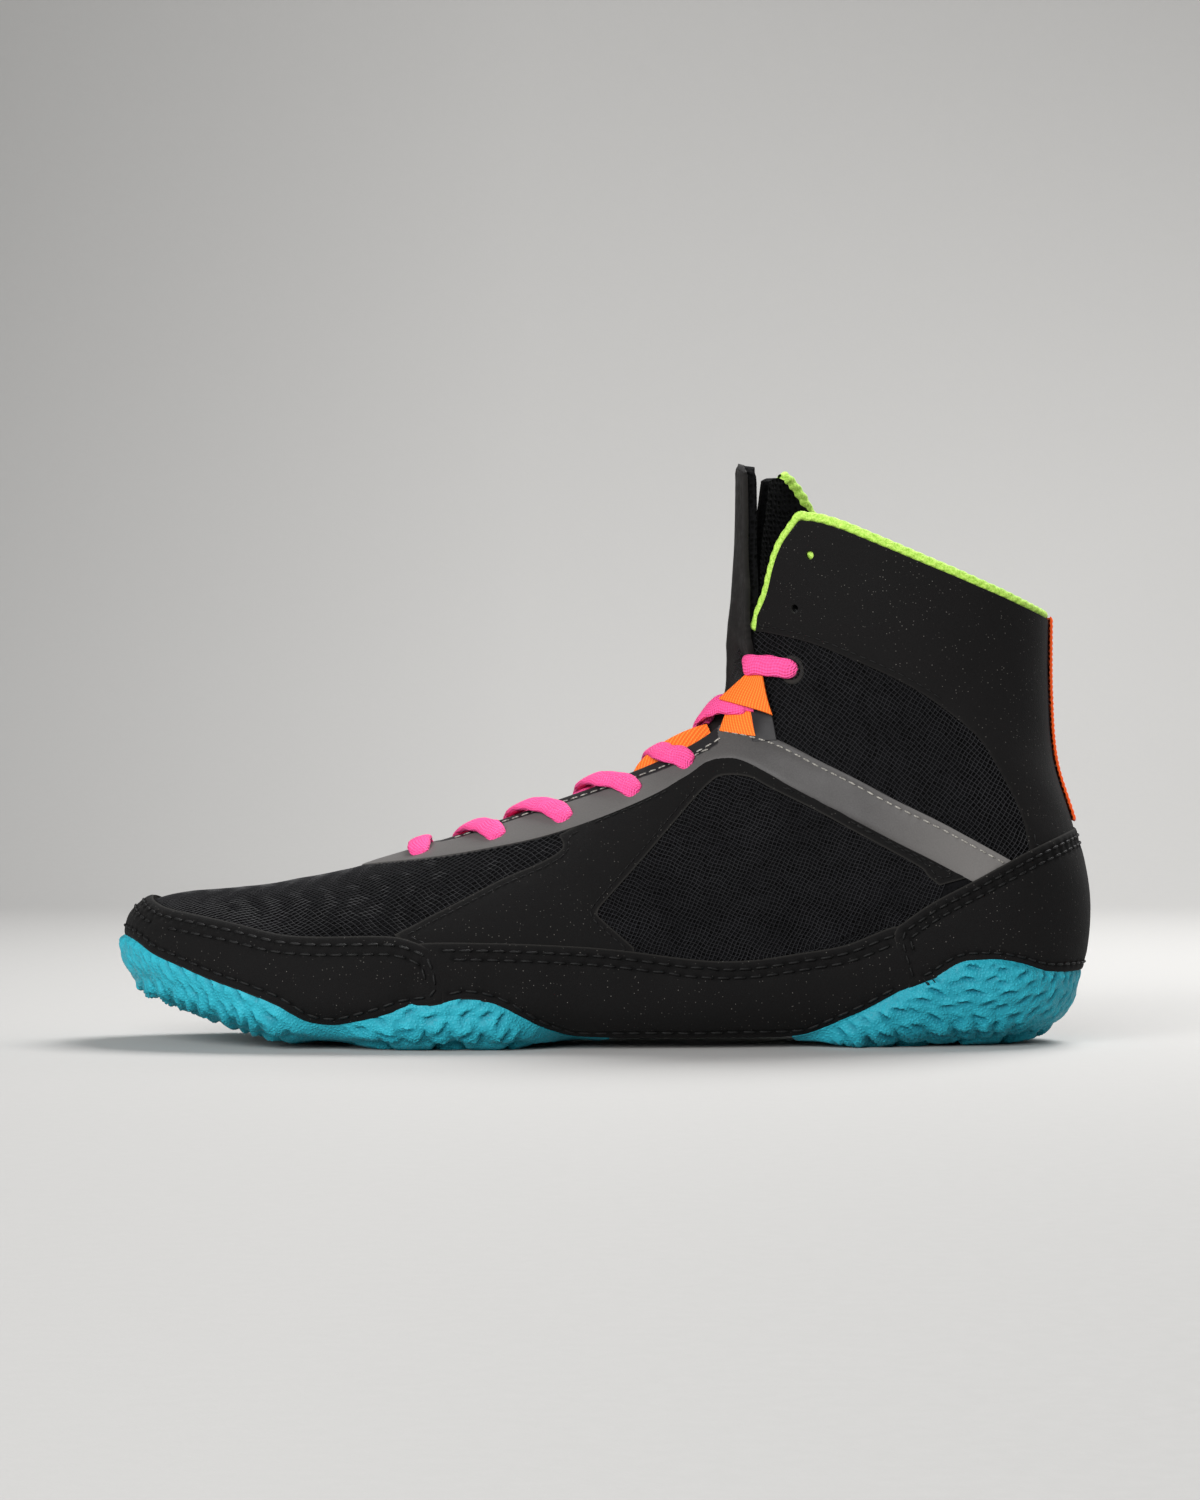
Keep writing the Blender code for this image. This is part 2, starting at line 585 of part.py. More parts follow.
def add_panels():
    """Suede wraps and counter, saddle, lace stay, cuff and seam tape."""
    suede = finish("suede", (0.010, 0.010, 0.011), 0.9)
    film = finish("reflective_film", (0.10, 0.105, 0.11), 0.45)
    twill = finish("cuff_twill", (0.011, 0.011, 0.012), 0.8)
    tape = finish("seam_tape", (0.75, 0.10, 0.03), 0.7)

    toe = TOE_WRAP_TOP + between(FOREFOOT_EDGE, -150.0, -46.0)[::-1] + [(-150.0, 48.0)]
    add_panel("toe_wrap", toe, SUEDE, suede, (0.0, 9.0))

    arch = [(57.5, WRAP_AT_ARCH + 0.6), (50.0, WRAP_AT_ARCH), (-7.0, WRAP_AT_ARCH)]
    wrap = (SIDE_WRAP_TOP + between(HEEL_EDGE, 60.0, 82.0)[::-1] + arch
            + between(FOREFOOT_EDGE, -46.0, -8.0)[::-1])
    saddle_top = [(x, z - 0.6) for x, z in STAY_LOWER if -4.0 < x < 100.0]
    saddle_foot = [(x, z + 0.6) for x, z in SIDE_WRAP_TOP if -32.0 < x < 8.0][::-1]
    saddle = SADDLE_FRONT + saddle_top + QUARTER_MESH + saddle_foot
    for side, name in ((-1, "lateral"), (1, "medial")):
        add_panel("side_wrap_" + name, wrap, SUEDE, suede, (6.0, 16.0), side)
        add_panel("saddle_" + name, saddle, SADDLE, suede, (6.0, 15.0), side)

    counter = COUNTER_TOP + between(HEEL_EDGE, 86.0, 150.0)[::-1]
    add_panel("heel_counter", counter, SUEDE, suede, (10.0, 18.0))

    add_panel("eyestay", STAY_LOWER + STAY_UPPER, FILM, film, (5.0, 16.0), punched=True)
    cuff = CUFF_LOWER + [(150.0, 190.0), (30.0, 190.0)]
    add_panel("ankle_cuff", cuff, CUFF, twill, (13.0, RIM), punched=True)

    mesh = skin_mesh("heel_tape", 15.5, RIM, CLEARANCE + CUFF + CLEARANCE)
    made = new_object("heel_tape", mesh, parts, tape)
    thicken(made, TAPE, 1.0)
    strip = [(120.0, 64.5), (150.0, 64.5), (150.0, 121.5), (120.0, 121.5)]
    tool = prism_mesh("heel_tape_outline", strip, -TAPE_HALF_WIDTH, TAPE_HALF_WIDTH)
    cut(made, cutter(tool), "INTERSECT")


def add_binding():
    """Rolled edge of the collar, from one flap's front edge round the back to the other."""
    reach = BINDING_RADIUS + 2.0 * CLEARANCE
    middle = -0.25 * UPPER_WALL

    def edge_point(station, angle, up, inward):
        at = rim_station(station, angle)
        edge = skin(at, angle, middle)
        rise = skin(at + 0.05, angle, middle) - edge
        turn = skin(at, angle * 0.95, middle) - edge
        away = up * rise / np.linalg.norm(rise) + inward * turn / np.linalg.norm(turn)
        return edge + away * reach

    def flap(side):
        fronts = [edge_point(station, side * throat_angle(station, side), 0.0, 1.0)
                  for station in BINDING_STATIONS]
        corner = edge_point(RIM, side * throat_angle(RIM, side), 0.9, 0.9)
        step = math.pi / SIDE_COLUMNS
        first = round(throat_angle(RIM, side) / step) + 1
        rims = [edge_point(RIM, side * column * step, 1.0, 0.0)
                for column in range(first, SIDE_COLUMNS)]
        return fronts + [corner] + rims

    route = flap(-1) + [edge_point(RIM, math.pi, 1.0, 0.0)] + flap(1)[::-1]

    curve = bpy.data.curves.new("collar_binding", "CURVE")
    curve.dimensions = "3D"
    curve.bevel_depth = BINDING_RADIUS * MM
    curve.bevel_resolution = 1
    curve.use_fill_caps = True
    line = curve.splines.new("POLY")
    line.points.add(len(route) - 1)
    for point, place in zip(line.points, route):
        point.co = (*(place * MM), 1.0)
    new_object("collar_binding", curve, parts, finish("lime_binding", (0.45, 0.62, 0.02), 0.7))


def ribbon_mesh(name, route, width, upright):
    """Flat strip along a route of station, distance across and lift.

    Its width lies on the last, square to the route, or runs up the last if it is upright.
    """
    def build(work):
        marks = np.array(route)
        share = np.linspace(0.0, len(marks) - 1.0, 2 * len(marks) - 1)
        path = [np.interp(share, range(len(marks)), marks[:, column]) for column in range(3)]
        angles = angle_at(path[0], path[1])
        line = skin(path[0], angles, path[2])
        if upright:
            sideways = skin(path[0] + 0.05, angles, path[2]) - line
        else:
            outward = skin(path[0], angles, path[2] + 1.0) - line
            sideways = np.cross(np.gradient(line, axis=0), outward)
        sideways *= 0.5 * width / np.linalg.norm(sideways, axis=1, keepdims=True)
        rows = [[work.verts.new(place - half), work.verts.new(place + half)]
                for place, half in zip(line, sideways)]
        fill_quads(work, rows)

    return mesh_from(name, build)


def add_ribbon(name, route, width, thickness, group, material=None, upright=False):
    """Flat woven strip of one thickness."""
    made = new_object(name, ribbon_mesh(name, route, width, upright), group, material)
    return thicken(made, thickness, 0.0)


def crossing_route(station, share, drop, side, climb):
    """Lace from one eyelet over the throat's edge, down towards the edge across."""
    height = CLEARANCE + FILM + LACE_GAP + 0.5 * LACE_THICKNESS + climb
    gap = float(table_at(THROAT, THROAT_COLUMNS, "lateral" if side < 0 else "medial", station))
    return [(station, side * share * side_reach(station, side), height),
            (station - 0.5 * drop, side * (gap + 1.0), height),
            (station - drop, 0.0, height - CROSSING_SINK),
            (station - 1.35 * drop, -side * (gap - 6.0), height - END_SINK)]


def add_laces():
    """Flat lace: the bar at the front, the crossings, and the ends at the top eyelets."""
    pink = finish("lace_weave", (0.80, 0.02, 0.16), 0.8)
    station, share = LACED_EYELETS[0]
    on_stay = CLEARANCE + FILM + LACE_GAP + 0.5 * LACE_THICKNESS
    bar = [(station, side * share * side_reach(station, side), on_stay)
           for side in (-1.0, -0.5, 0.0, 0.5, 1.0)]
    add_ribbon("lace_bar", bar, LACE_WIDTH, LACE_THICKNESS, parts, pink)

    starts = [(*eyelet, drop) for eyelet, drop in zip(LACED_EYELETS[1:], CROSSING_DROP)]
    starts.append((LOOP_LACE_STATION, LOOP_LACE_SHARE, LOOP_LACE_DROP))
    for index, start in enumerate(starts, 2):
        name = "lace_cross_%d" % index
        made = add_ribbon(name, crossing_route(*start, -1, 0.0), LACE_WIDTH, LACE_THICKNESS,
                          parts, pink)
        other = add_ribbon(name + "_other", crossing_route(*start, 1, OTHER_LACE_CLIMB),
                           LACE_WIDTH, LACE_THICKNESS, cutters)
        other.hide_render = True
        other.display_type = "WIRE"
        cut(made, other, "UNION")

    station, share = TOP_EYELET
    on_ankle = LACE_GAP + 0.5 * LACE_THICKNESS
    for side, name in ((-1, "lateral"), (1, "medial")):
        eyelet = side * share * side_reach(station, side)
        end = [(station, eyelet, on_ankle), (station - 0.25, 0.75 * eyelet, on_ankle),
               (station - 0.5, 0.56 * eyelet, on_ankle)]
        add_ribbon("lace_top_" + name, end, LACE_WIDTH, LACE_THICKNESS, parts, pink)


def add_webbing():
    """Webbing loops at the ankle, one on each flap."""
    orange = finish("webbing", (0.85, 0.12, 0.02), 0.75)
    for side, name in ((-1, "lateral"), (1, "medial")):
        route = [(LOOP_STATION, side * across, lift) for across, lift in LOOP_ROUTE]
        add_ribbon("lace_loop_" + name, route, LOOP_WIDTH, LOOP_THICKNESS, parts, orange,
                   upright=True)


def eyelet_mesh():
    """Round punches through the upper and the layer on it, one at each eyelet."""
    def build(work):
        for station, share in LACED_EYELETS + [TOP_EYELET] + SPARE_EYELETS:
            for side in (-1, 1):
                angle = angle_at(station, side * share * side_reach(station, side))
                inner = Vector(skin(station, angle, -5.0))
                outer = Vector(skin(station, angle, 5.0))
                turn = (outer - inner).to_track_quat("Z", "Y").to_matrix().to_4x4()
                turn.translation = 0.5 * (inner + outer)
                bmesh.ops.create_cone(work, cap_ends=True, segments=8, radius1=EYELET_RADIUS,
                                      radius2=EYELET_RADIUS, depth=10.0, matrix=turn)

    return mesh_from("eyelet_punches", build)


for old in list(bpy.data.objects):
    bpy.data.objects.remove(old, do_unlink=True)
parts = bpy.data.collections.new(OBJECT_NAME)
cutters = bpy.data.collections.new("cutters")
for group in (parts, cutters):
    bpy.context.scene.collection.children.link(group)

rubber = finish("sole_rubber", (0.004, 0.30, 0.33), 0.6)
eyelets = cutter(eyelet_mesh())
body_form = cutter(form_mesh("body_form", 0.0, 18.0, CLEARANCE))
arch_gap = cutter(arch_mesh())

add_upper()
add_outsole("outsole_forefoot", 0.0, 11.0, FOREFOOT_EDGE, (-128.0, -10.0))
add_outsole("outsole_heel", 10.0, 16.0, HEEL_EDGE, (66.0, 126.0))
add_insole()
add_tongue()
add_panels()
add_binding()
add_laces()
add_webbing()
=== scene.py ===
import json
import math

import bpy
import numpy as np
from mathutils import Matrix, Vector

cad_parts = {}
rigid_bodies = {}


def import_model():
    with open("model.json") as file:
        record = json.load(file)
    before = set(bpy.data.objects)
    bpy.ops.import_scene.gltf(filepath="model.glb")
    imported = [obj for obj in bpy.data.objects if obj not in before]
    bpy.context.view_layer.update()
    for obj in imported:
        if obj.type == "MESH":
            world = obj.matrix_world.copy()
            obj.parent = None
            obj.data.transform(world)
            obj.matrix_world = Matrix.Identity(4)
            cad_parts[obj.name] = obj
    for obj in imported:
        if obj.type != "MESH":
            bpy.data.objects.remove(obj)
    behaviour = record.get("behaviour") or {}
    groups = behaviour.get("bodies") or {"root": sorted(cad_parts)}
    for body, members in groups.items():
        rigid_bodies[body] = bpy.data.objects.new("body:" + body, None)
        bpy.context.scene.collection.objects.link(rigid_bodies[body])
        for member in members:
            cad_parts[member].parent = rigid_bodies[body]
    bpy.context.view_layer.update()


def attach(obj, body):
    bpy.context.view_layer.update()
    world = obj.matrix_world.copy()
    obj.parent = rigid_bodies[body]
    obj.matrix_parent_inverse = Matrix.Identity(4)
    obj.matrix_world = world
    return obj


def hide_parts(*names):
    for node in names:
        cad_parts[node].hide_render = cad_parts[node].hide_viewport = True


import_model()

# Studio: a pale paper sweep under and behind the shoe, and a long lens level with its middle.
# One soft box hangs behind the shoe to the right, a larger one stands in front to the left,
# one fills in the toe and one washes the paper at the back.
MM = 0.001
EYE = (-1.4, -1300.0, 85.0)
VIEW_HEIGHT = 437.4
SENSOR = 36.0
PAPER_FRONT = -4.2
PAPER_BEND = 0.95
PAPER_RUN = 0.75
PAPER_ROUND = 0.6
PAPER_SIDE = 4.2
PAPER_TOP = 2.6
PAPER_GREY = (0.47, 0.464, 0.452)
ROOM_COLOUR = (0.95, 0.96, 1.0, 1.0)
ROOM_STRENGTH = 0.2
# Soft boxes: name, place, aim, width, height and power
SOFT_BOXES = [
    ("key_light", (0.55, 0.6, 1.25), (0.0, 0.0, 0.05), 0.7, 0.7, 29.0),
    ("front_light", (-0.5, -1.9, 0.9), (0.0, 0.0, 0.1), 1.3, 1.0, 37.0),
    ("toe_fill", (-1.1, -1.4, 0.6), (-0.1, 0.0, 0.03), 0.9, 0.9, 17.0),
    ("back_wash", (1.7, 0.75, 1.2), (0.6, 1.6, 0.3), 1.0, 1.0, 8.0),
]


def node(tree, kind, settings=None, **inputs):
    """Shader node with its settings and its inputs, each a value or another node's socket."""
    made = tree.nodes.new("ShaderNode" + kind)
    for key, value in (settings or {}).items():
        setattr(made, key, value)
    for key, value in inputs.items():
        numbered = key[1:].isdigit()
        socket = made.inputs[int(key[1:]) if numbered else key.replace("_", " ")]
        if isinstance(value, bpy.types.NodeSocket):
            tree.links.new(value, socket)
        else:
            socket.default_value = value
    return made


def maths(tree, operation, first, second=0.0, third=0.0):
    """Output of a Math node."""
    return node(tree, "Math", {"operation": operation}, i0=first, i1=second, i2=third).outputs[0]


def new_finish(name, colour, roughness, specular=None):
    """Principled material: its tree and its shader."""
    made = bpy.data.materials.new(name)
    made.use_nodes = True
    shader = made.node_tree.nodes["Principled BSDF"]
    shader.inputs["Base Color"].default_value = (*colour, 1.0)
    shader.inputs["Roughness"].default_value = roughness
    if specular is not None:
        shader.inputs["Specular IOR Level"].default_value = specular
    return made, made.node_tree, shader


def between(tree, low, high, share):
    """Colour between two, each a colour or a socket, by a socket."""
    ends = [end if isinstance(end, bpy.types.NodeSocket) else (*end, 1.0) for end in (low, high)]
    return node(tree, "Mix", {"data_type": "RGBA"}, i0=share, i6=ends[0], i7=ends[1]).outputs[2]


def colour_by(tree, shader, low, high, share):
    """Colour a shader between two, by a socket."""
    tree.links.new(between(tree, low, high, share), shader.inputs["Base Color"])


def spread(tree, value, low, high, to_low, to_high):
    """Value mapped from one range to another, and kept in it."""
    return node(tree, "MapRange", None, Value=value, From_Min=low, From_Max=high, To_Min=to_low,
                To_Max=to_high).outputs[0]


def noise(tree, place, scale, detail=2.0, roughness=0.5):
    """Grey noise at a scale in waves a metre."""
    return node(tree, "TexNoise", None, Vector=place, Scale=scale, Detail=detail,
                Roughness=roughness).outputs[0]


def dull_by(tree, shader, value, low, high):
    """Roughness from low to high, by a noise."""
    tree.links.new(spread(tree, value, 0.3, 0.7, low, high), shader.inputs["Roughness"])


def raise_by(tree, shader, height, distance, strength=1.0):
    """Bump on a shader, from a height of 0 to 1 that stands for a distance in metres."""
    bump = node(tree, "Bump", None, Height=height, Distance=distance, Strength=strength)
    before = shader.inputs["Normal"].links
    if before:
        tree.links.new(before[0].from_socket, bump.inputs["Normal"])
    tree.links.new(bump.outputs[0], shader.inputs["Normal"])


bpy.ops.object.select_all(action="DESELECT")
bpy.ops.mesh.primitive_plane_add(size=1.0)
paper = bpy.context.object
paper.name = "paper_sweep"
for corner in paper.data.vertices:
    corner.co.x *= 2.0 * PAPER_SIDE
    corner.co.y = PAPER_FRONT if corner.co.y < 0.0 else PAPER_BEND
bpy.ops.object.mode_set(mode="EDIT")
bpy.ops.mesh.select_all(action="DESELECT")
bpy.ops.object.mode_set(mode="OBJECT")
for edge in paper.data.edges:
    edge.select = all(abs(paper.data.vertices[i].co.y - PAPER_BEND) < 0.01 for i in edge.vertices)
bpy.ops.object.mode_set(mode="EDIT")
bpy.ops.mesh.extrude_region_move(TRANSFORM_OT_translate={"value": (0.0, PAPER_RUN, 0.0)})
bpy.ops.mesh.extrude_region_move(TRANSFORM_OT_translate={"value": (0.0, 0.0, PAPER_TOP)})
bpy.ops.object.mode_set(mode="OBJECT")
bend = paper.modifiers.new("bend", "BEVEL")
bend.width = PAPER_ROUND
bend.segments = 24
bend.limit_method = "ANGLE"
bpy.ops.object.modifier_apply(modifier="bend")
bpy.ops.object.shade_smooth()
paper_finish, tree, shader = new_finish("paper", PAPER_GREY, 0.9)
place = node(tree, "TexCoord").outputs["Object"]
parts = node(tree, "SeparateXYZ", None, Vector=place)
# Painted shade: the paper's colour is darkened towards the left, the top, the front and the lower right,
# where less light falls on it.
fade = maths(tree, "MULTIPLY", spread(tree, parts.outputs["X"], -0.42, -0.05, 0.79, 1.0),
             spread(tree, parts.outputs["Z"], 0.12, 0.58, 1.0, 0.91))
fade = maths(tree, "MULTIPLY", fade, spread(tree, parts.outputs["Y"], -0.8, 0.1, 0.78, 1.0))
low_right = maths(tree, "MULTIPLY_ADD", parts.outputs["Z"], -1.5, parts.outputs["X"])
fade = maths(tree, "MULTIPLY", fade, spread(tree, low_right, 0.0, 0.3, 1.0, 0.92))
colour_by(tree, shader, (0.0, 0.0, 0.0), PAPER_GREY, fade)
raise_by(tree, shader, noise(tree, place, 900.0, 3.0), 0.0002, 0.2)
dull_by(tree, shader, noise(tree, place, 260.0), 0.84, 0.95)
paper.data.materials.append(paper_finish)

for name, place, aim, width, height, power in SOFT_BOXES:
    lamp = bpy.data.lights.new(name, "AREA")
    lamp.shape = "RECTANGLE"
    lamp.size = width
    lamp.size_y = height
    lamp.energy = power
    lamp_object = bpy.data.objects.new(name, lamp)
    lamp_object.location = place
    lamp_object.rotation_euler = (Vector(aim) - Vector(place)).to_track_quat("-Z", "Y").to_euler()
    bpy.context.scene.collection.objects.link(lamp_object)

world = bpy.data.worlds.new("soft_room")
world.use_nodes = True
world.node_tree.nodes["Background"].inputs["Color"].default_value = ROOM_COLOUR
world.node_tree.nodes["Background"].inputs["Strength"].default_value = ROOM_STRENGTH
bpy.context.scene.world = world
bpy.context.scene.view_settings.view_transform = "Standard"

lens = bpy.data.cameras.new("camera")
lens.sensor_width = SENSOR
lens.lens = SENSOR * -EYE[1] / VIEW_HEIGHT
lens.clip_start = 0.05
camera = bpy.data.objects.new("camera", lens)
camera.location = Vector(EYE) * MM
camera.rotation_euler = (math.pi / 2.0, 0.0, 0.0)
bpy.context.scene.collection.objects.link(camera)
bpy.context.scene.camera = camera


# Upper body: the sewn textile sock that everything else is laid on, mesh outside and padded
# lining inside. It is lasted over one form, a tube of sections that starts at the toe, turns
# up round the heel and ends at the collar; the tables are in millimetres.
LAST_COLUMNS = ("top_x", "top_z", "bottom_x", "bottom_z", "axis", "lateral", "medial",
                "widest", "top_power", "bottom_power")
LAST = np.array([
    (-138.2, 31.0, -138.2, 31.0, 10.0, 0.0, 0.0, 0.50, 2.0, 2.0),
    (-136.8, 36.4, -137.0, 23.5, 10.0, 11.0, 11.0, 0.50, 2.0, 2.0),
    (-132.0, 40.6, -133.6, 17.8, 9.5, 22.0, 20.5, 0.52, 2.1, 2.2),
    (-122.7, 43.0, -125.0, 14.2, 8.5, 33.0, 29.5, 0.56, 2.2, 2.6),
    (-108.0, 44.3, -110.0, 9.8, 7.5, 42.5, 36.0, 0.60, 2.2, 3.2),
    (-90.0, 46.6, -92.0, 6.4, 6.5, 49.0, 39.5, 0.65, 2.1, 3.8),
    (-70.8, 51.0, -72.0, 5.5, 5.5, 52.0, 41.0, 0.70, 2.0, 4.0),
    (-50.0, 57.2, -50.0, 5.4, 5.0, 52.0, 39.5, 0.73, 1.9, 4.0),
    (-28.0, 66.0, -24.0, 5.0, 4.0, 49.5, 35.0, 0.75, 1.8, 4.0),
    (-4.0, 75.5, 6.0, 3.0, 3.0, 45.0, 30.0, 0.75, 1.8, 4.0),
    (15.0, 84.5, 36.0, 2.3, 2.0, 40.5, 28.0, 0.74, 1.8, 4.0),
    (27.5, 92.5, 64.0, 3.2, 1.5, 37.0, 28.5, 0.72, 1.8, 3.8),
    (34.0, 100.5, 92.0, 5.2, 1.0, 35.0, 30.0, 0.70, 1.8, 3.4),
    (37.0, 108.5, 120.0, 6.8, 0.5, 34.0, 31.5, 0.68, 1.8, 2.8),
    (38.2, 115.5, 133.3, 12.2, 0.0, 33.2, 32.0, 0.66, 1.9, 2.4),
    (39.0, 121.5, 138.0, 25.0, 0.0, 33.0, 32.5, 0.63, 1.9, 2.2),
    (39.8, 128.0, 139.3, 42.5, 0.0, 33.0, 33.0, 0.58, 2.0, 2.1),
    (40.5, 135.0, 135.4, 62.2, 0.0, 33.2, 33.2, 0.53, 2.0, 2.1),
    (41.3, 144.0, 129.6, 81.5, 0.0, 33.5, 33.5, 0.50, 2.1, 2.2),
    (42.0, 153.0, 128.0, 101.5, 0.0, 34.0, 34.0, 0.50, 2.1, 2.2),
    (42.6, 163.0, 127.9, 123.0, 0.0, 34.5, 34.5, 0.50, 2.1, 2.2),
    (43.2, 173.0, 127.6, 144.0, 0.0, 35.0, 35.0, 0.50, 2.1, 2.2),
])
# Half width of the throat by station, on the outer and on the inner side
THROAT = np.array([
    (7.00, 0.0, 0.0), (7.12, 5.0, 5.0), (7.40, 8.0, 8.0), (8.00, 9.5, 9.0), (10.00, 11.0, 10.0),
    (12.00, 11.0, 10.0), (14.00, 10.0, 10.0), (15.00, 11.3, 10.5), (16.00, 13.1, 11.3),
    (17.00, 16.3, 12.0), (18.00, 19.8, 12.6), (18.50, 20.8, 12.9), (19.03, 21.9, 13.8),
    (19.33, 22.8, 14.3), (19.57, 23.8, 14.8), (19.80, 24.8, 15.2), (20.00, 25.8, 15.6),
    (21.00, 33.0, 20.0),
])
RIM = 20.0
RIM_BLEND = 18.0
# Station of the collar's rim by the angle from the ridge, on the outer and on the inner side
RIM_LATERAL = np.array([(0.70, 19.29), (0.78, 19.41), (0.87, 19.53), (0.94, 19.61), (1.02, 19.67),
                        (1.17, 19.74), (1.37, 19.78), (1.66, 19.84), (1.86, 19.88), (2.23, 19.93),
                        (3.20, 20.0)])
RIM_MEDIAL = np.array([(0.36, 20.0), (0.44, 20.28), (0.53, 20.46), (0.60, 20.54), (0.68, 20.54),
                       (0.76, 20.47), (0.84, 20.32), (0.92, 20.13), (1.00, 19.97), (1.14, 19.86),
                       (1.66, 19.84), (2.23, 19.93), (3.20, 20.0)])
UPPER_WALL = 2.0
UPPER_ROWS = 145
UPPER_COLUMNS = 130
TOE_ROWS = 39
TOE_END = 2.0
SECTION_MARKS = 1441
OPEN_FOREFOOT = (3.0, 9.0)
OPEN_HEEL = (11.0, 13.0)
OPEN_TURN = 0.8 * math.pi
LACED_EYELETS = [(6.85, 0.28), (7.87, 0.41), (8.65, 0.45), (9.55, 0.44), (10.48, 0.41)]
TOP_EYELET = (15.1, 0.62)
SPARE_EYELETS = [(17.16, 0.707), (18.80, 0.814)]
EYELET_RADIUS = 1.9
EYELET_DEPTH = 12.0
SPARE_RADIUS = 1.3
# Soft troughs and ridges of the cloth, seen from the side: both ends, half width and height
CREASES = [
    ((44.0, 72.0), (52.0, 30.0), 4.0, 0.9),
    ((22.0, 58.0), (34.0, 34.0), 5.0, -0.7),
    ((60.0, 112.0), (64.0, 86.0), 3.2, 0.9),
    ((50.0, 112.0), (54.0, 92.0), 3.0, -0.8),
    ((72.0, 106.0), (80.0, 78.0), 4.0, -0.6),
    ((-104.0, 40.0), (-84.0, 34.0), 4.0, -0.7),
    ((-92.0, 45.0), (-66.0, 34.0), 4.5, 0.7),
    ((-74.0, 48.0), (-52.0, 36.0), 4.0, -0.7),
    ((-52.0, 24.0), (-56.0, 12.0), 4.0, -0.8),
    ((-38.0, 26.0), (-36.0, 15.0), 3.5, 0.6),
    ((-12.0, 26.0), (-6.0, 9.0), 7.0, -0.7),
    ((24.0, 22.0), (30.0, 7.0), 8.0, 0.6),
    ((58.0, 24.0), (66.0, 12.0), 6.0, -0.6),
    ((92.0, 96.0), (112.0, 108.0), 7.0, -0.8),
    ((78.0, 138.0), (96.0, 112.0), 8.0, 0.7),
    ((60.0, 140.0), (66.0, 122.0), 6.0, -0.6),
]


def eased(value, low, high):
    """Smooth step from 0 at low to 1 at high."""
    share = np.clip((value - low) / (high - low), 0.0, 1.0)
    return share * share * (3.0 - 2.0 * share)


def section(station):
    """Columns of the last at a station, on a smooth curve through its rows."""
    before = LAST[1] * (1, 1, 1, 1, 1, -1, -1, 1, 1, 1)
    before[1] = 2.0 * LAST[0, 1] - LAST[1, 1]
    before[3] = 2.0 * LAST[0, 3] - LAST[1, 3]
    rows = np.vstack([before, LAST, 2.0 * LAST[-1] - LAST[-2]])
    index = np.clip(np.floor(station).astype(int), 0, len(LAST) - 2)
    part = (station - index)[..., None]
    a, b, c, d = (rows[index + step] for step in range(4))
    curve = b + 0.5 * part * (c - a + part * (2 * a - 5 * b + 4 * c - d
                                              + part * (3 * (b - c) + d - a)))
    return {name: curve[..., column] for column, name in enumerate(LAST_COLUMNS)}


def last_point(station, angle):
    """Point of the last: the angle is 0 on the ridge, and below 0 on the outer side."""
    station, angle = np.broadcast_arrays(np.asarray(station, float), np.asarray(angle, float))
    row = section(station)
    turn = np.abs(angle)
    sine = np.clip(np.sin(turn), 0.0, 1.0)
    cosine = np.cos(turn)
    above = turn <= math.pi / 2
    power = np.where(above, 2.0 / row["top_power"], 2.0 / row["bottom_power"])
    swing = np.abs(cosine) ** power
    down = np.where(above, row["widest"] * (1.0 - swing),
                    row["widest"] + (1.0 - row["widest"]) * swing)
    reach = np.where(angle < 0.0, -row["lateral"], row["medial"])
    return np.stack([
        row["top_x"] + (row["bottom_x"] - row["top_x"]) * down,
        row["axis"] + reach * sine ** power,
        row["top_z"] + (row["bottom_z"] - row["top_z"]) * down,
    ], axis=-1)


def outward(station, angle):
    """Unit normal of the last."""
    step = 0.01
    near = np.maximum(station, 2.0 * step)
    along = last_point(near + step, angle) - last_point(near - step, angle)
    around = last_point(near, angle + step) - last_point(near, angle - step)
    normal = np.cross(along, around)
    normal /= np.linalg.norm(normal, axis=-1, keepdims=True)
    return np.where(np.asarray(station)[..., None] > 0.0, normal, (-1.0, 0.0, 0.0))


def creased(points):
    """How far the creases lift the cloth at points of the last."""
    lift = np.zeros(points.shape[:-1])
    for (x1, z1), (x2, z2), half_width, height in CREASES:
        ex, ez = x2 - x1, z2 - z1
        share = ((points[..., 0] - x1) * ex + (points[..., 2] - z1) * ez) / (ex * ex + ez * ez)
        near = np.clip(share, 0.0, 1.0)
        gap = np.hypot(points[..., 0] - x1 - near * ex, points[..., 2] - z1 - near * ez)
        fade = eased(share, -0.25, 0.3) * (1.0 - eased(share, 0.7, 1.25))
        lift += height * fade * np.exp(-(gap / half_width) ** 2)
    return lift


def skin(station, angle, lift=0.0):
    """Point of the creased last, moved out along its normal by the lift."""
    station, angle = np.broadcast_arrays(np.asarray(station, float), np.asarray(angle, float))
    flat = last_point(station, angle)
    rise = np.asarray(lift, float) + creased(flat)
    return flat + outward(station, angle) * rise[..., None]


def half_width_at(station, side):
    """Half width of the last at a station, on one side."""
    return section(np.asarray(station))["lateral" if side < 0 else "medial"]


def angle_at(station, across):
    """Angle of the point at a distance across from the middle line, on the top half."""
    row = section(np.asarray(station, float))
    reach = np.where(np.asarray(across) < 0.0, row["lateral"], row["medial"])
    share = np.clip(np.abs(across) / np.maximum(reach, 1e-9), 0.0, 1.0)
    return np.sign(across) * np.arcsin(share ** (row["top_power"] / 2.0))


def throat_gap(station, side):
    """Distance from the middle line to the throat's edge."""
    return np.interp(station, THROAT[:, 0], THROAT[:, 1 if side < 0 else 2])


def throat_turns(stations, gap=0.0):
    """First and last turn at each station, a gap away from the throat's edges."""
    first = np.abs([angle_at(s, -throat_gap(s, -1)) for s in stations]) + gap
    last = 2.0 * math.pi - np.abs([angle_at(s, throat_gap(s, 1)) for s in stations]) - gap
    return first, last


